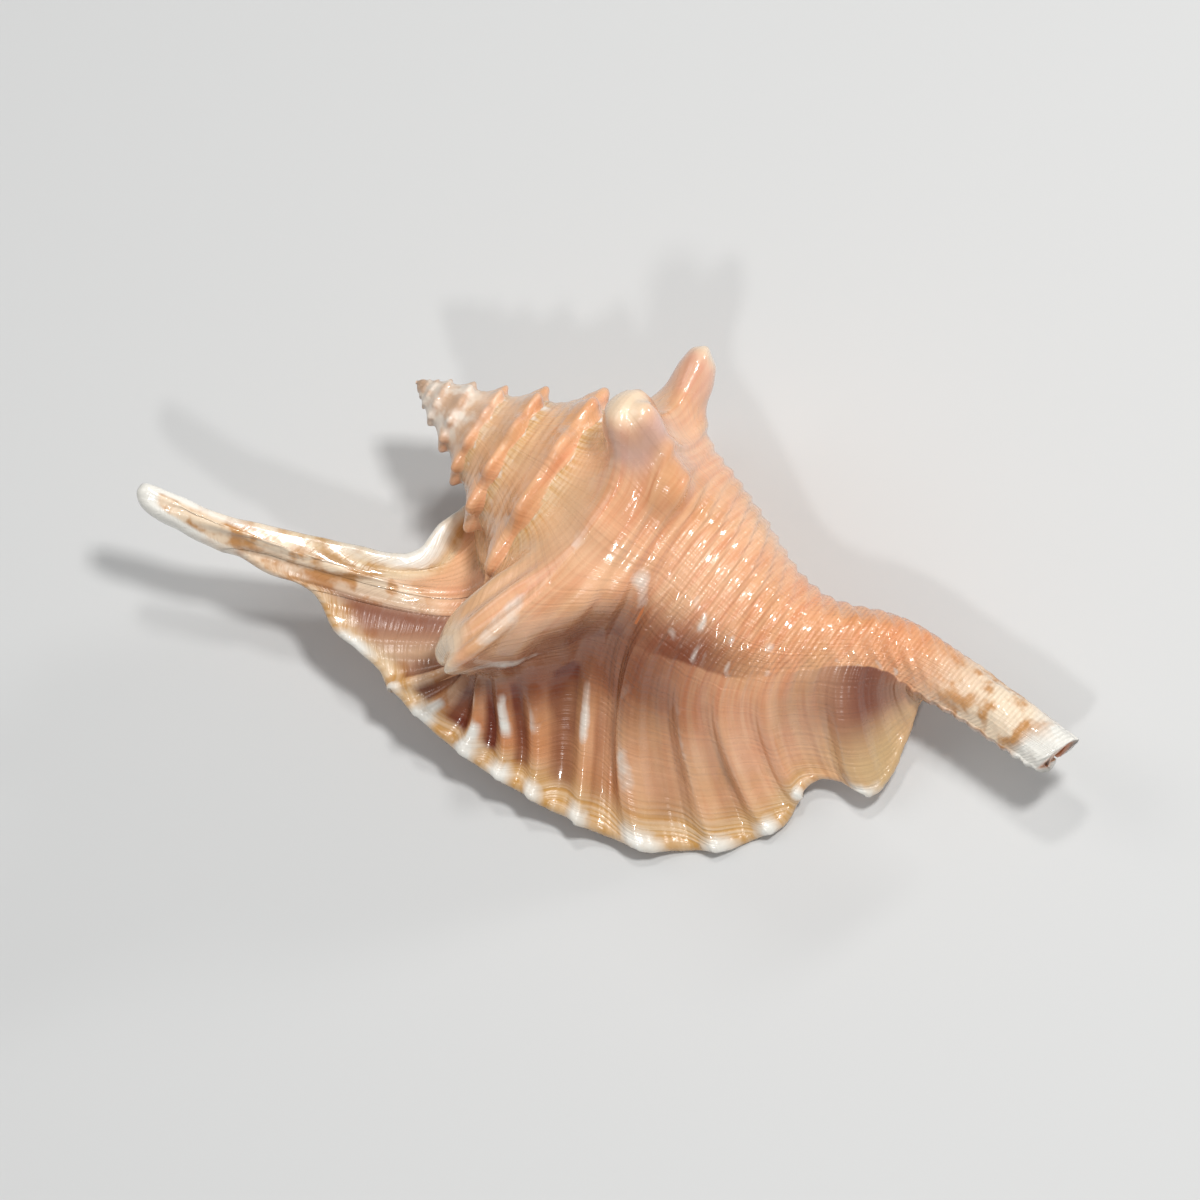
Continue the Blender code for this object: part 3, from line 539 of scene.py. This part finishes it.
def gridFields(x, angle, start, thickness, number, outer, u, spireCount):
    # what every point of the grid needs to know for its relief and its colours
    rows = len(x)
    counts = (grid["back"], grid["lip"], grid["margin"], grid["under"] + 1, grid["aperture"])
    width, closing = sum(counts), aperture["closing"]
    ends = np.cumsum(counts)
    f = {name: np.zeros((rows, width)) for name in ("angle", "u", "lip", "inside", "growth")}
    f["x"] = np.repeat(x[:, None], width, 1)
    f["line"] = np.repeat(number[:, None], width, 1)
    f["angle"][:, :ends[0]] = angle
    f["angle"][:, ends[0]:] = start[:, None]
    share = np.arange(1, width - ends[0] + 1) / (width - ends[0] + 1)
    first = start[:spireCount, None]
    f["angle"][:spireCount, ends[0]:] = first + (closing - first) * share
    lipped = slice(spireCount, None)
    f["u"][lipped, ends[0]:ends[1]] = u
    f["u"][lipped, ends[1]:ends[2]] = 1
    f["u"][lipped, ends[2]:ends[3]] = np.linspace(1, 0, counts[3])
    f["lip"][lipped, ends[0]:ends[3]] = 1
    f["inside"][lipped, ends[2]:ends[3]] = 1
    f["inside"][lipped, ends[3]:] = ease(*aperture["lined"], x[lipped])[:, None]
    tail = np.linspace(0, 1, counts[4])
    f["angle"][lipped, ends[3]:] = start[lipped, None] + (closing - start[lipped, None]) * tail
    root = coil(start, x)
    reach = coil(f["angle"] - 360 * (f["angle"] > start[:, None] + 1e-6), f["x"])
    onCoil = (f["lip"] < 0.5) & (f["inside"] < 0.5)
    f["place"] = np.where(onCoil, reach[1], root[1][:, None])
    f["size"] = np.where(onCoil, reach[2], root[2][:, None])
    run = np.linalg.norm(np.diff(outer, axis=1), axis=-1)
    run = np.concatenate([0 * run[:, :1], np.cumsum(run, 1)], 1)
    across = (run[:, ends[1] - 1] - run[:, ends[0] - 1])[:, None]
    f["growth"] = growthPerDegree * f["angle"] + f["u"] * across
    f["all"], f["coil"], f["outside"] = np.ones_like(f["x"]), 1 - f["lip"], 1 - f["inside"]
    f["body"] = f["coil"] * f["outside"]
    f["canal"] = (f["line"] > lip["canalLine"]) * 1.0
    return f


def shellShape():
    spire = rowsOf(grid["spireRows"])
    x = np.concatenate([spire, rowsOf(grid["lipRows"]), rowsOf(grid["canalRows"])])
    count = len(spire)
    start = rootAngle(x)
    angle = crowdedAngles(start, grid["back"])
    back = backSurface(angle, x[:, None])
    u = np.linspace(0, 1, grid["lip"] + 1)[1:]
    lx, lipStart = x[count:], start[count:]
    back[count:], points, normals, way, thickness, free, number = lipSurface(back[count:], lx, u)
    openPart = ease(*aperture["opens"], lx)[:, None]
    rootRadius = bodyRadius(lipStart, lx)
    solidAngle = lipStart + np.degrees(thickness / np.maximum(rootRadius, 1))
    onSolid = onAxis(solidAngle, coil(solidAngle - 360, lx)[0], lx)
    inHollow = onAxis(lipStart, rootRadius - thickness, lx)
    inside = onSolid * (1 - openPart) + inHollow * openPart
    path = aperturePath(lx, lipStart, thickness, free, solidAngle, back[count:, 0])
    path = np.concatenate([inside[:, None], path[:, 1:-1], back[count:, :1]], 1)
    hollow = evenPoints(path, grid["aperture"])
    rings = []
    for i, root in enumerate(back[count:, -1]):
        facing = unit(root - inside[i])
        under = lipUnderside(root, facing, points[i], normals[i], u, thickness[i], grid["under"])
        margin = roundedMargin(points[i, -1], under[0], way[i], grid["margin"])
        rings.append(np.concatenate([back[count + i], points[i], margin, under, hollow[i]]))
    spare = len(rings[0]) - grid["back"]
    closing = start[:count, None]
    closing = closing + (aperture["closing"] - closing) * np.arange(1, spare + 1) / (spare + 1)
    tops = onAxis(closing, coil(closing - 360, spire[:, None])[0], spire[:, None])
    shape = np.concatenate([np.concatenate([back[:count], tops], 1), np.array(rings)])
    lines = np.concatenate([np.zeros(count), number])
    fields = gridFields(x, angle, start, thickness, lines, shape, u, count)
    ringed = np.concatenate([shape[:, -1:], shape, shape[:, :1]], 1)
    outward = surfaceNormals(ringed)[:, 1:-1]
    shape = shape + outward * fineRelief(fields)[..., None]
    return shape, fields


# strengths, regions and shapes as in relief; a marking's region may be an earlier marking
markings = {
    "ivory": (1, "all", [(ease, "tips", 0.76, 0.98)]),
    # painted shade: a lilac tint on the flanks of the two tall knobs, below their ivory tips
    "flankShade": (1, "all", [(window, "secondTip", 0.12, 0.5, 0.6, 0.98)]),
    "firstFlankShade": (0.5, "all", [(ease, "firstTip", 0.15, 0.5)]),
    "aged": (1, "body", [(ease, "worn", 17, 5)]),
    # painted shade: the groove on the body just before the lip's root, beside the hood
    "sunk": (0.85, "body", [(ease, "beforeLip", 40, 4), (window, "x", 36, 43, 60, 74)]),
    # the rib valleys: their real red-brown, darkened further with painted shade
    "valley": (1.4, "lip", [(ease, "ribs", 0.75, 0.3), (window, "u", 0.05, 0.3, 0.82, 0.93),
                            (window, "line", 18, 21, 31, 33)]),
    "rootShade": (0.75, "lip", [(ease, "u", 0.6, 0.3), (window, "line", 17, 21, 29, 33)]),
    "marginBand": (1, "lip", [(ease, "u", 0.72, 0.93), (window, "line", 13, 18, 34, 37)]),
    "flap": (1, "lip", [(ease, "line", 9.5, 7), (ease, "u", 0.1, 0.5)]),
    "goldenFlap": (0.75, "flap", []),
    "suture": (1, "body", [(bump, "place", 25.6, 2.3), (window, "x", 6, 12, 33, 40)]),
    "sutureFlecks": (0.7, "suture", [(ease, "flecks", 0.1, 0.8)]),
    "ribEnds": (0.8, "ribbed", [(ease, "ribs", 0.05, 1), (ease, "u", 0.82, 1)]),
    # the rib crests: partly their real whitish colour, partly painted highlight
    "crestWhiteAndHighlight": (0.75, "lip", [(ease, "crests", -0.4, 1.1), (ease, "ribs", 0.6, 0.95),
                                 (ease, "u", 0.15, 0.5), (window, "line", 20, 22, 30, 33)]),
    "flapEdge": (0.75, "flap", [(ease, "u", 0.35, 0.95), (ease, "line", 8, 6)]),
    "fingerTip": (1, "lip", [(bump, "line", 11.2, 2.6), (ease, "u", 0.93, 0.99)]),
    "canalTip": (1, "canal", [(ease, "x", 106, 114)]),
    "cordDashes": (0.5, "cords", [(ease, "dashes", 0.35, 0.9), (ease, "x", 52, 60),
                                  (ease, "angle", -10, 20)]),
    "shoulderBlaze": (0.55, "body", [(ease, "blaze", 0.5, 1), (window, "x", 34, 38, 54, 62),
                                     (ease, "angle", 5, 30)]),
    "fingerMottle": (1, "lip", [(plateau, "line", 9, 8), (ease, "u", 0.2, 0.42)]),
    "canalMottle": (1, "canal", [(ease, "x", 86, 104)]),
    "rearMottle": (0.4, "lip", [(bump, "line", 20, 3.5), (ease, "u", 0.15, 0.4)]),
    "warmBody": (1, "body", [(window, "x", 60, 86, 89, 97), (ease, "angle", 90, 0)]),
    "warmSpire": (0.4, "body", [(bump, "place", 33, 3), (window, "x", 6, 12, 30, 36)]),
    "lobe": (1, "lip", [(bump, "line", 38.8, 2.6)]),
    "violetLobe": (1, "lobe", [(ease, "u", 0.85, 0.35)]),
    # painted shade: violet on the lip's rear fold, which faces away from the light
    "rearFoldShade": (0.9, "lip", [(bump, "line", 17, 1.9), (window, "u", 0.15, 0.4, 0.75, 0.95)]),
    "oliveLobe": (1, "lobe", [(ease, "u", 0.4, 0.8)]),
    "oliveFlap": (0.6, "flap", []),
    "pale": (1, "body", [(ease, "place", 37, 31), (ease, "x", 38, 32)]),
    "plainHood": (1, "all", [(ease, "hoodTip", 0.05, 0.3)]),
    "plainKnobs": (1, "all", [(ease, "knobTips", 0.1, 0.4)]),
    "plainShoulder": (1, "unsutured", [(ease, "x", 54, 46)]),
    "plainLip": (0.6, "lip", [(ease, "u", 0.2, 0.6)]),
    "brown": (1, "lip", [(window, "line", 15, 19, 27, 33), (ease, "u", 0, 0.3)]),
}

# what the tables above can't hold; the valleys in front lose a share between two growth lines
marks = {
    "wornWander": 3, "firstRibLine": 17, "sutureThreads": 0.9,
    "valleyLeast": 0.6, "valleyUneven": (-0.5, 0.4), "frontValleys": (0.7, 26.8, 28),
}


def shellMasks(f):
    # where each tint lies, from 0 to 1: first the fields that only the markings use
    angle, x = f["angle"], f["x"]
    tips = [swellOf(knobs[number], angle, x) * f["body"] for number in (0, 1, 3)]
    f["firstTip"], f["secondTip"], f["hoodTip"] = tips
    f["tips"], f["knobTips"] = np.maximum.reduce(tips), np.maximum(*tips[:2])
    f["ribs"] = ribShare(f["line"]) * f["lip"]
    f["ribbed"] = f["lip"] * (f["line"] > marks["firstRibLine"])
    f["beforeLip"] = rootAngle(x) - angle
    f["cords"] = ridges(f["place"], spacing["cords"]) * f["body"]
    f["worn"] = x + marks["wornWander"] * varied("worn", f)
    for name in ("flecks", "crests", "dashes", "blaze"):
        f[name] = varied(name, f)
    f["unsutured"] = f["body"] * (1 - marks["sutureThreads"] * spread(markings["suture"], f))
    for name, part in markings.items():
        f[name] = spread(part, f)
    # the rib valleys' brown and painted shade: uneven, and fainter towards the front
    least = marks["valleyLeast"]
    loss, start, full = marks["frontValleys"]
    f["valley"] *= least + (1 - least) * ease(*marks["valleyUneven"], varied("valley", f))
    f["valley"] = np.minimum(f["valley"] * (1 - loss * ease(start, full, f["line"])), 1)

    def most(*names):
        return np.maximum.reduce([f[name] for name in names]) * f["outside"]

    # white marks; on the rib crests they are partly painted highlight
    white = most("sutureFlecks", "ribEnds", "crestWhiteAndHighlight", "flapEdge", "fingerTip", "canalTip",
                 "cordDashes", "shoulderBlaze")
    mottled = most("fingerMottle", "canalMottle", "rearMottle")
    plain = most("plainHood", "plainKnobs", "plainShoulder", "plainLip")
    return {
        "tips": (most("ivory"), most("flankShade", "firstFlankShade"), most("aged")),
        "bands": (most("marginBand", "goldenFlap", "suture"), white, most("warmBody", "warmSpire")),
        # painted shade: the groove, the lip's root and the rib valleys, there over their real brown
        "depths": (most("sunk", "valley", "rootShade"), f["inside"], most("violetLobe", "rearFoldShade")),
        "ways": (f["growth"], f["place"] * f["size"], f["u"]),
        "spots": (mottled, most("oliveLobe", "oliveFlap"), most("brown")),
        "extras": (most("pale"), plain, 0 * x),
    }


def buildShell():
    print("shell: shaping the grid")
    shape, fields = shellShape()
    rows, columns = shape.shape[:2]
    bpy.ops.object.select_all(action="DESELECT")
    bpy.ops.mesh.primitive_grid_add(x_subdivisions=columns, y_subdivisions=rows - 1, size=1)
    shell = bpy.context.object
    shell.name = "glossyConchShell"
    closed = np.concatenate([shape, shape[:, :1]], 1)
    shell.data.vertices.foreach_set("co", closed.ravel())
    for name, parts in shellMasks(fields).items():
        values = np.stack(parts, -1)
        values = np.concatenate([values, values[:, :1]], 1)
        layer = shell.data.attributes.new(name, "FLOAT_VECTOR", "POINT")
        layer.data.foreach_set("vector", values.astype(np.float32).ravel())
    weldSeam(shell, rows, columns + 1)
    apex = settle(shell)
    print("shell:", len(shell.data.polygons), "faces")
    return shell, apex


def weldSeam(shell, rows, columns):
    # join the first and last columns, then close the apex and the canal's end
    edge = np.zeros((rows, columns), bool)
    edge[:, 0] = edge[:, -1] = True
    selectOnly(shell, edge)
    bpy.ops.mesh.remove_doubles(threshold=0.0001)
    bpy.ops.mesh.select_all(action="DESELECT")
    bpy.ops.mesh.select_non_manifold()
    bpy.ops.mesh.edge_face_add()
    bpy.ops.mesh.select_all(action="SELECT")
    bpy.ops.mesh.normals_make_consistent(inside=False)
    bpy.ops.object.mode_set(mode="OBJECT")
    bpy.ops.object.shade_smooth()


def selectOnly(shell, wanted):
    shell.data.vertices.foreach_set("select", wanted.ravel())
    for parts in (shell.data.edges, shell.data.polygons):
        parts.foreach_set("select", np.zeros(len(parts), bool))
    bpy.ops.object.mode_set(mode="EDIT")
    bpy.ops.mesh.select_mode(type="VERT")


def restingTurn(size):
    turn = Matrix.Rotation(math.radians(resting["pitch"]), size, "Y")
    return turn @ Matrix.Rotation(math.radians(resting["roll"]), size, "X")


def settle(shell):
    # turn the shell as it rests and set it where the frame's solid stands
    shell.data.transform(Matrix.Scale(mm, 4) @ restingTurn(4))
    points = np.zeros(len(shell.data.vertices) * 3)
    shell.data.vertices.foreach_get("co", points)
    points = points.reshape(-1, 3)
    low, high = points.min(0), points.max(0)
    middle = (np.array(cadBox[0]) + np.array(cadBox[1])) / 2
    shift = np.array([middle[0] - (low[0] + high[0]) / 2, middle[1] - (low[1] + high[1]) / 2,
                      cadBox[1][2] - high[2]])
    points += shift
    points[:, 2] = np.maximum(points[:, 2], cadBox[0][2])
    shell.data.vertices.foreach_set("co", points.ravel())
    shell.data.update()
    return Vector(shift)


def srgb(red, green, blue):
    channels = [value / 255 for value in (red, green, blue)]
    return tuple([c / 12.92 if c <= 0.04045 else ((c + 0.055) / 1.055) ** 2.4 for c in channels] + [1.0])


palette = {
    "peach": srgb(234, 176, 134), "salmon": srgb(220, 142, 100), "paleCord": srgb(244, 206, 168),
    # the dark brown-red on this line paints the shade in the groove and at the lip's root, and darkens the
    # real brown of the rib valleys with painted shade
    # the pale purple on this line paints shade on the knobs' flanks
    "orange": srgb(222, 138, 78), "lilacShade": srgb(214, 178, 172), "deep": srgb(112, 50, 28),
    "ivory": srgb(240, 212, 180), "golden": srgb(196, 148, 76), "cream": srgb(244, 226, 198),
    "white": srgb(240, 236, 226), "tan": srgb(192, 138, 76), "violet": srgb(136, 84, 66),
    "olive": srgb(204, 176, 128), "chalk": srgb(238, 228, 214), "worn": srgb(212, 176, 146),
    "honey": srgb(246, 206, 162), "amber": srgb(198, 126, 76),
    "glaze": srgb(238, 190, 148), "glazeDeep": srgb(200, 120, 74),
}

# the most of each tint that is laid over what is under it
strength = {
    "salmon": 0.7, "honey": 0.6, "amber": 0.8, "paleCord": 0.4, "orange": 0.5, "lilacShade": 0.7, "tan": 0.3,
    "goldLines": 0.5, "golden": 0.85, "mottled": 0.85, "olive": 0.8, "aged": 0.85,
}

# noise patches: scale, then the noise values between which a patch fades in
patchSizes = {
    "clouds": (60.0, 0.36, 0.66), "specks": (260.0, 0.42, 0.62), "blots": (110.0, 0.4, 0.68),
    "spots": (230.0, 0.44, 0.6), "streaks": (1.0, 0.38, 0.64), "growthLines": (1.0, 0.3, 0.7),
}

# how fast the streaks and the growth lines change with growth, across the cords and inside
stretch = {"streaks": (0.05, 0.9, 3.0), "growthLines": (1.6, 0.06, 3.0)}

finish = {
    "roughness": 0.2, "speckRoughness": 0.1, "agedRoughness": 0.25, "coat": 0.6, "coatRoughness": 0.06,
    "threadSpacing": 0.78, "threadHeight": 0.5, "plainThreads": 0.8, "growthHeight": 0.35,
    "speckHeight": 0.15, "bump": 0.9, "bumpDepth": 0.00018,
    "deepest": 1.05, "deepClouds": -0.35, "whiteShare": 1.6, "whiteClouds": 0.45, "whiteSpecks": 0.3,
}


def newNode(tree, kind, settings=None, inputs=None):
    made = tree.nodes.new(kind)
    for name, value in (settings or {}).items():
        setattr(made, name, value)
    for name, value in (inputs or {}).items():
        feed(tree, made.inputs[name], value)
    return made


def feed(tree, socket, value):
    if isinstance(value, bpy.types.NodeSocket):
        tree.links.new(value, socket)
    else:
        socket.default_value = value


def calc(tree, operation, first, second=0.0, third=0.0, clamp=False):
    made = newNode(tree, "ShaderNodeMath", {"operation": operation, "use_clamp": clamp})
    for socket, value in zip(made.inputs, (first, second, third)):
        feed(tree, socket, value)
    return made.outputs[0]


def times(tree, first, second):
    return calc(tree, "MULTIPLY", first, second)


def blendColour(tree, share, below, above):
    made = newNode(tree, "ShaderNodeMix", {"data_type": "RGBA"})
    feed(tree, made.inputs[0], share)
    feed(tree, made.inputs[6], below)
    feed(tree, made.inputs[7], above)
    return made.outputs[2]


def newGroup(name, output, **inputs):
    # a shader group with number inputs, or a vector where there is no value
    group = bpy.data.node_groups.new(name, "ShaderNodeTree")
    for title, value in inputs.items():
        kind = "NodeSocketVector" if value is None else "NodeSocketFloat"
        socket = group.interface.new_socket(title, in_out="INPUT", socket_type=kind)
        if value is not None:
            socket.default_value = value
    group.interface.new_socket(output, in_out="OUTPUT", socket_type="NodeSocketFloat")
    return group, newNode(group, "NodeGroupInput"), newNode(group, "NodeGroupOutput")


def patchGroup():
    # soft irregular patches: noise between two thresholds
    group, given, out = newGroup("irregularPatches", "Patches", Vector=None, Scale=1.0, Low=0.4, High=0.6)
    noise = newNode(group, "ShaderNodeTexNoise", {"noise_dimensions": "3D"},
                    {"Vector": given.outputs["Vector"], "Scale": given.outputs["Scale"], "Detail": 3.0})
    ends = {"From Min": given.outputs["Low"], "From Max": given.outputs["High"]}
    ramp = newNode(group, "ShaderNodeMapRange", {"interpolation_type": "SMOOTHSTEP"},
                   {"Value": noise.outputs[0], **ends})
    group.links.new(ramp.outputs[0], out.inputs[0])
    return group


def threadGroup():
    # rounded threads at an even spacing along one coordinate
    group, given, out = newGroup("evenThreads", "Threads", Place=0.0, Spacing=1.0)
    turns = calc(group, "DIVIDE", given.outputs["Place"], given.outputs["Spacing"])
    wave = calc(group, "COSINE", times(group, turns, 2 * math.pi))
    group.links.new(calc(group, "MULTIPLY_ADD", wave, 0.5, 0.5), out.inputs[0])
    return group


def useGroup(tree, group, inputs):
    return newNode(tree, "ShaderNodeGroup", {"node_tree": group}, inputs).outputs[0]


def scaled(tree, parts, factors):
    # a vector from three values, each stretched by its own factor
    made = newNode(tree, "ShaderNodeCombineXYZ")
    for i, (part, factor) in enumerate(zip(parts, factors)):
        feed(tree, made.inputs[i], times(tree, part, factor))
    return made.outputs[0]


def shellMaterial():
    print("material: glossy shell")
    material = bpy.data.materials.new("glossyShell")
    material.use_nodes = True
    tree = material.node_tree
    surface = tree.nodes["Principled BSDF"]
    patches, threads = patchGroup(), threadGroup()

    def layers(name):
        read = newNode(tree, "ShaderNodeAttribute", {"attribute_name": name})
        return newNode(tree, "ShaderNodeSeparateXYZ", None, {0: read.outputs["Vector"]}).outputs

    def patchy(name, vector):
        scale, low, high = patchSizes[name]
        return useGroup(tree, patches, {"Vector": vector, "Scale": scale, "Low": low, "High": high})

    def tinted(below, share, tint):
        return blendColour(tree, times(tree, share, strength[tint]), below, palette[tint])

    growth, place, along = layers("ways")
    ivory, flankShade, aged = layers("tips")
    golden, white, warm = layers("bands")
    # the first layer is painted shade in the groove, at the lip's root and in the rib valleys; the last is
    # partly painted shade on the lip's rear fold
    deep, inside, violet = layers("depths")
    mottled, olive, brown = layers("spots")
    pale, plain = layers("extras")[:2]
    point = newNode(tree, "ShaderNodeTexCoord").outputs["Object"]

    clouds, specks, blots = [patchy(name, point) for name in ("clouds", "specks", "blots")]
    streaks, growthLines = [patchy(name, scaled(tree, (growth, place, inside), stretch[name]))
                            for name in ("streaks", "growthLines")]
    colour = palette["peach"]
    # the lilac tint on the knobs' flanks is painted shade
    for share, tint in ((streaks, "salmon"), (pale, "honey"), (brown, "amber"), (clouds, "paleCord"),
                        (warm, "orange"), (flankShade, "lilacShade"), (blots, "tan")):
        colour = tinted(colour, share, tint)
    goldLines = times(tree, growthLines, strength["goldLines"])
    goldLines = blendColour(tree, goldLines, palette["golden"], palette["cream"])
    colour = blendColour(tree, times(tree, golden, strength["golden"]), colour, goldLines)
    mottling = blendColour(tree, patchy("spots", point), palette["cream"], palette["tan"])
    colour = blendColour(tree, times(tree, mottled, strength["mottled"]), colour, mottling)
    # painted shade: the dark brown-red laid into the groove, along the lip's root and into the rib valleys
    # over their real brown, broken up by the clouds
    shade = calc(tree, "MULTIPLY_ADD", clouds, finish["deepClouds"], finish["deepest"])
    colour = blendColour(tree, times(tree, deep, shade), colour, palette["deep"])
    # violet: painted shade on the lip's rear fold, and violet on the lobe, strongest near its root
    colour = blendColour(tree, violet, colour, palette["violet"])
    colour = tinted(colour, olive, "olive")
    old = blendColour(tree, specks, palette["worn"], palette["chalk"])
    colour = blendColour(tree, times(tree, aged, strength["aged"]), colour, old)
    holes = times(tree, clouds, finish["whiteClouds"])
    holes = calc(tree, "ADD", holes, times(tree, specks, finish["whiteSpecks"]))
    broken = calc(tree, "SUBTRACT", times(tree, white, finish["whiteShare"]), holes, clamp=True)
    colour = blendColour(tree, broken, colour, palette["white"])
    colour = blendColour(tree, ivory, colour, palette["ivory"])
    glaze = blendColour(tree, along, palette["glazeDeep"], palette["glaze"])
    colour = blendColour(tree, inside, colour, glaze)
    tree.links.new(colour, surface.inputs["Base Color"])

    dull = calc(tree, "MULTIPLY_ADD", specks, finish["speckRoughness"], finish["roughness"])
    dull = calc(tree, "MULTIPLY_ADD", aged, finish["agedRoughness"], dull)
    tree.links.new(dull, surface.inputs["Roughness"])
    surface.inputs["Coat Weight"].default_value = finish["coat"]
    surface.inputs["Coat Roughness"].default_value = finish["coatRoughness"]

    fineThreads = useGroup(tree, threads, {"Place": place, "Spacing": finish["threadSpacing"]})
    threaded = calc(tree, "SUBTRACT", 1.0, times(tree, plain, finish["plainThreads"]))
    height = times(tree, times(tree, fineThreads, threaded), finish["threadHeight"])
    height = calc(tree, "MULTIPLY_ADD", growthLines, finish["growthHeight"], height)
    height = calc(tree, "MULTIPLY_ADD", specks, finish["speckHeight"], height)
    outer = times(tree, height, calc(tree, "SUBTRACT", 1.0, inside))
    raised = newNode(tree, "ShaderNodeBump", None, {
        "Strength": finish["bump"], "Distance": finish["bumpDepth"], "Height": outer})
    tree.links.new(raised.outputs[0], surface.inputs["Normal"])
    return material


studio = {
    "floorSize": 3.0, "floorColour": (0.62, 0.62, 0.61, 1), "floorRoughness": 0.8,
    "worldColour": (0.86, 0.9, 0.96, 1), "worldStrength": 0.16,
    # direction towards each light in the camera's own right, up and back, then distance, size and power
    "lights": {
        "key": ((0.18, 0.34, 0.92), 0.9, 0.10, 4.6), "shoulder": ((0.76, 0.58, 0.30), 0.9, 0.12, 2.0),
        "top": ((-0.05, 0.62, 0.78), 1.0, 0.10, 1.8), "front": ((-0.12, -0.32, 0.94), 1.3, 0.10, 3.2),
        "fill": ((-0.7, 0.45, 0.55), 1.1, 0.6, 1.6),
    },
}

# the camera sees the shell as the photograph does: 1200 px for 186 mm, the apex at its own place
photo = {
    "pixelsPerMm": 6.45, "frame": 1200, "apex": (418, 385), "lens": 400.0, "sensor": 36.0,
    "back": (0.138, -0.177, 0.974), "up": (-0.600, 0.7675, 0.2245), "clip": (0.01, 20),
}


def buildStudio(apex):
    print("studio: floor, lights and camera")
    turn = restingTurn(3)
    back = (turn @ Vector(photo["back"])).normalized()
    right = (turn @ Vector(photo["up"])).cross(back).normalized()
    up = back.cross(right)
    width = photo["frame"] / photo["pixelsPerMm"] * mm
    distance = width * photo["lens"] / photo["sensor"]
    middle = photo["frame"] / 2
    sideways, upward = middle - photo["apex"][0], photo["apex"][1] - middle
    aim = apex + (right * sideways + up * upward) / photo["pixelsPerMm"] * mm
    camera = bpy.data.objects.new("photoCamera", bpy.data.cameras.new("photoCamera"))
    bpy.context.scene.collection.objects.link(camera)
    camera.data.lens = photo["lens"]
    camera.data.sensor_width = photo["sensor"]
    camera.data.clip_start, camera.data.clip_end = photo["clip"]
    camera.matrix_world = Matrix((
        (right.x, up.x, back.x, 0), (right.y, up.y, back.y, 0), (right.z, up.z, back.z, 0), (0, 0, 0, 1)))
    camera.location = aim + back * distance
    bpy.context.scene.camera = camera
    for name, (way, far, size, power) in studio["lights"].items():
        towards = (right * way[0] + up * way[1] + back * way[2]).normalized()
        lamp = bpy.data.objects.new(name, bpy.data.lights.new(name, "AREA"))
        bpy.context.scene.collection.objects.link(lamp)
        lamp.data.size = size
        lamp.data.energy = power
        lamp.location = towards * far
        lamp.rotation_euler = towards.to_track_quat("Z", "Y").to_euler()
    world = bpy.data.worlds.new("softStudio")
    world.use_nodes = True
    background = world.node_tree.nodes["Background"]
    background.inputs["Color"].default_value = studio["worldColour"]
    background.inputs["Strength"].default_value = studio["worldStrength"]
    bpy.context.scene.world = world
    bpy.context.scene.view_settings.view_transform = "Standard"
    bpy.ops.mesh.primitive_plane_add(size=studio["floorSize"], location=(0, 0, cadBox[0][2]))
    floor = bpy.context.object
    floor.name = "paleFloor"
    matte = bpy.data.materials.new("paleFloor")
    matte.use_nodes = True
    surface = matte.node_tree.nodes["Principled BSDF"]
    surface.inputs["Base Color"].default_value = studio["floorColour"]
    surface.inputs["Roughness"].default_value = studio["floorRoughness"]
    floor.data.materials.append(matte)


shell, apex = buildShell()
shell.data.materials.append(shellMaterial())
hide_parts("conch_shell")
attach(shell, "root")
buildStudio(apex)
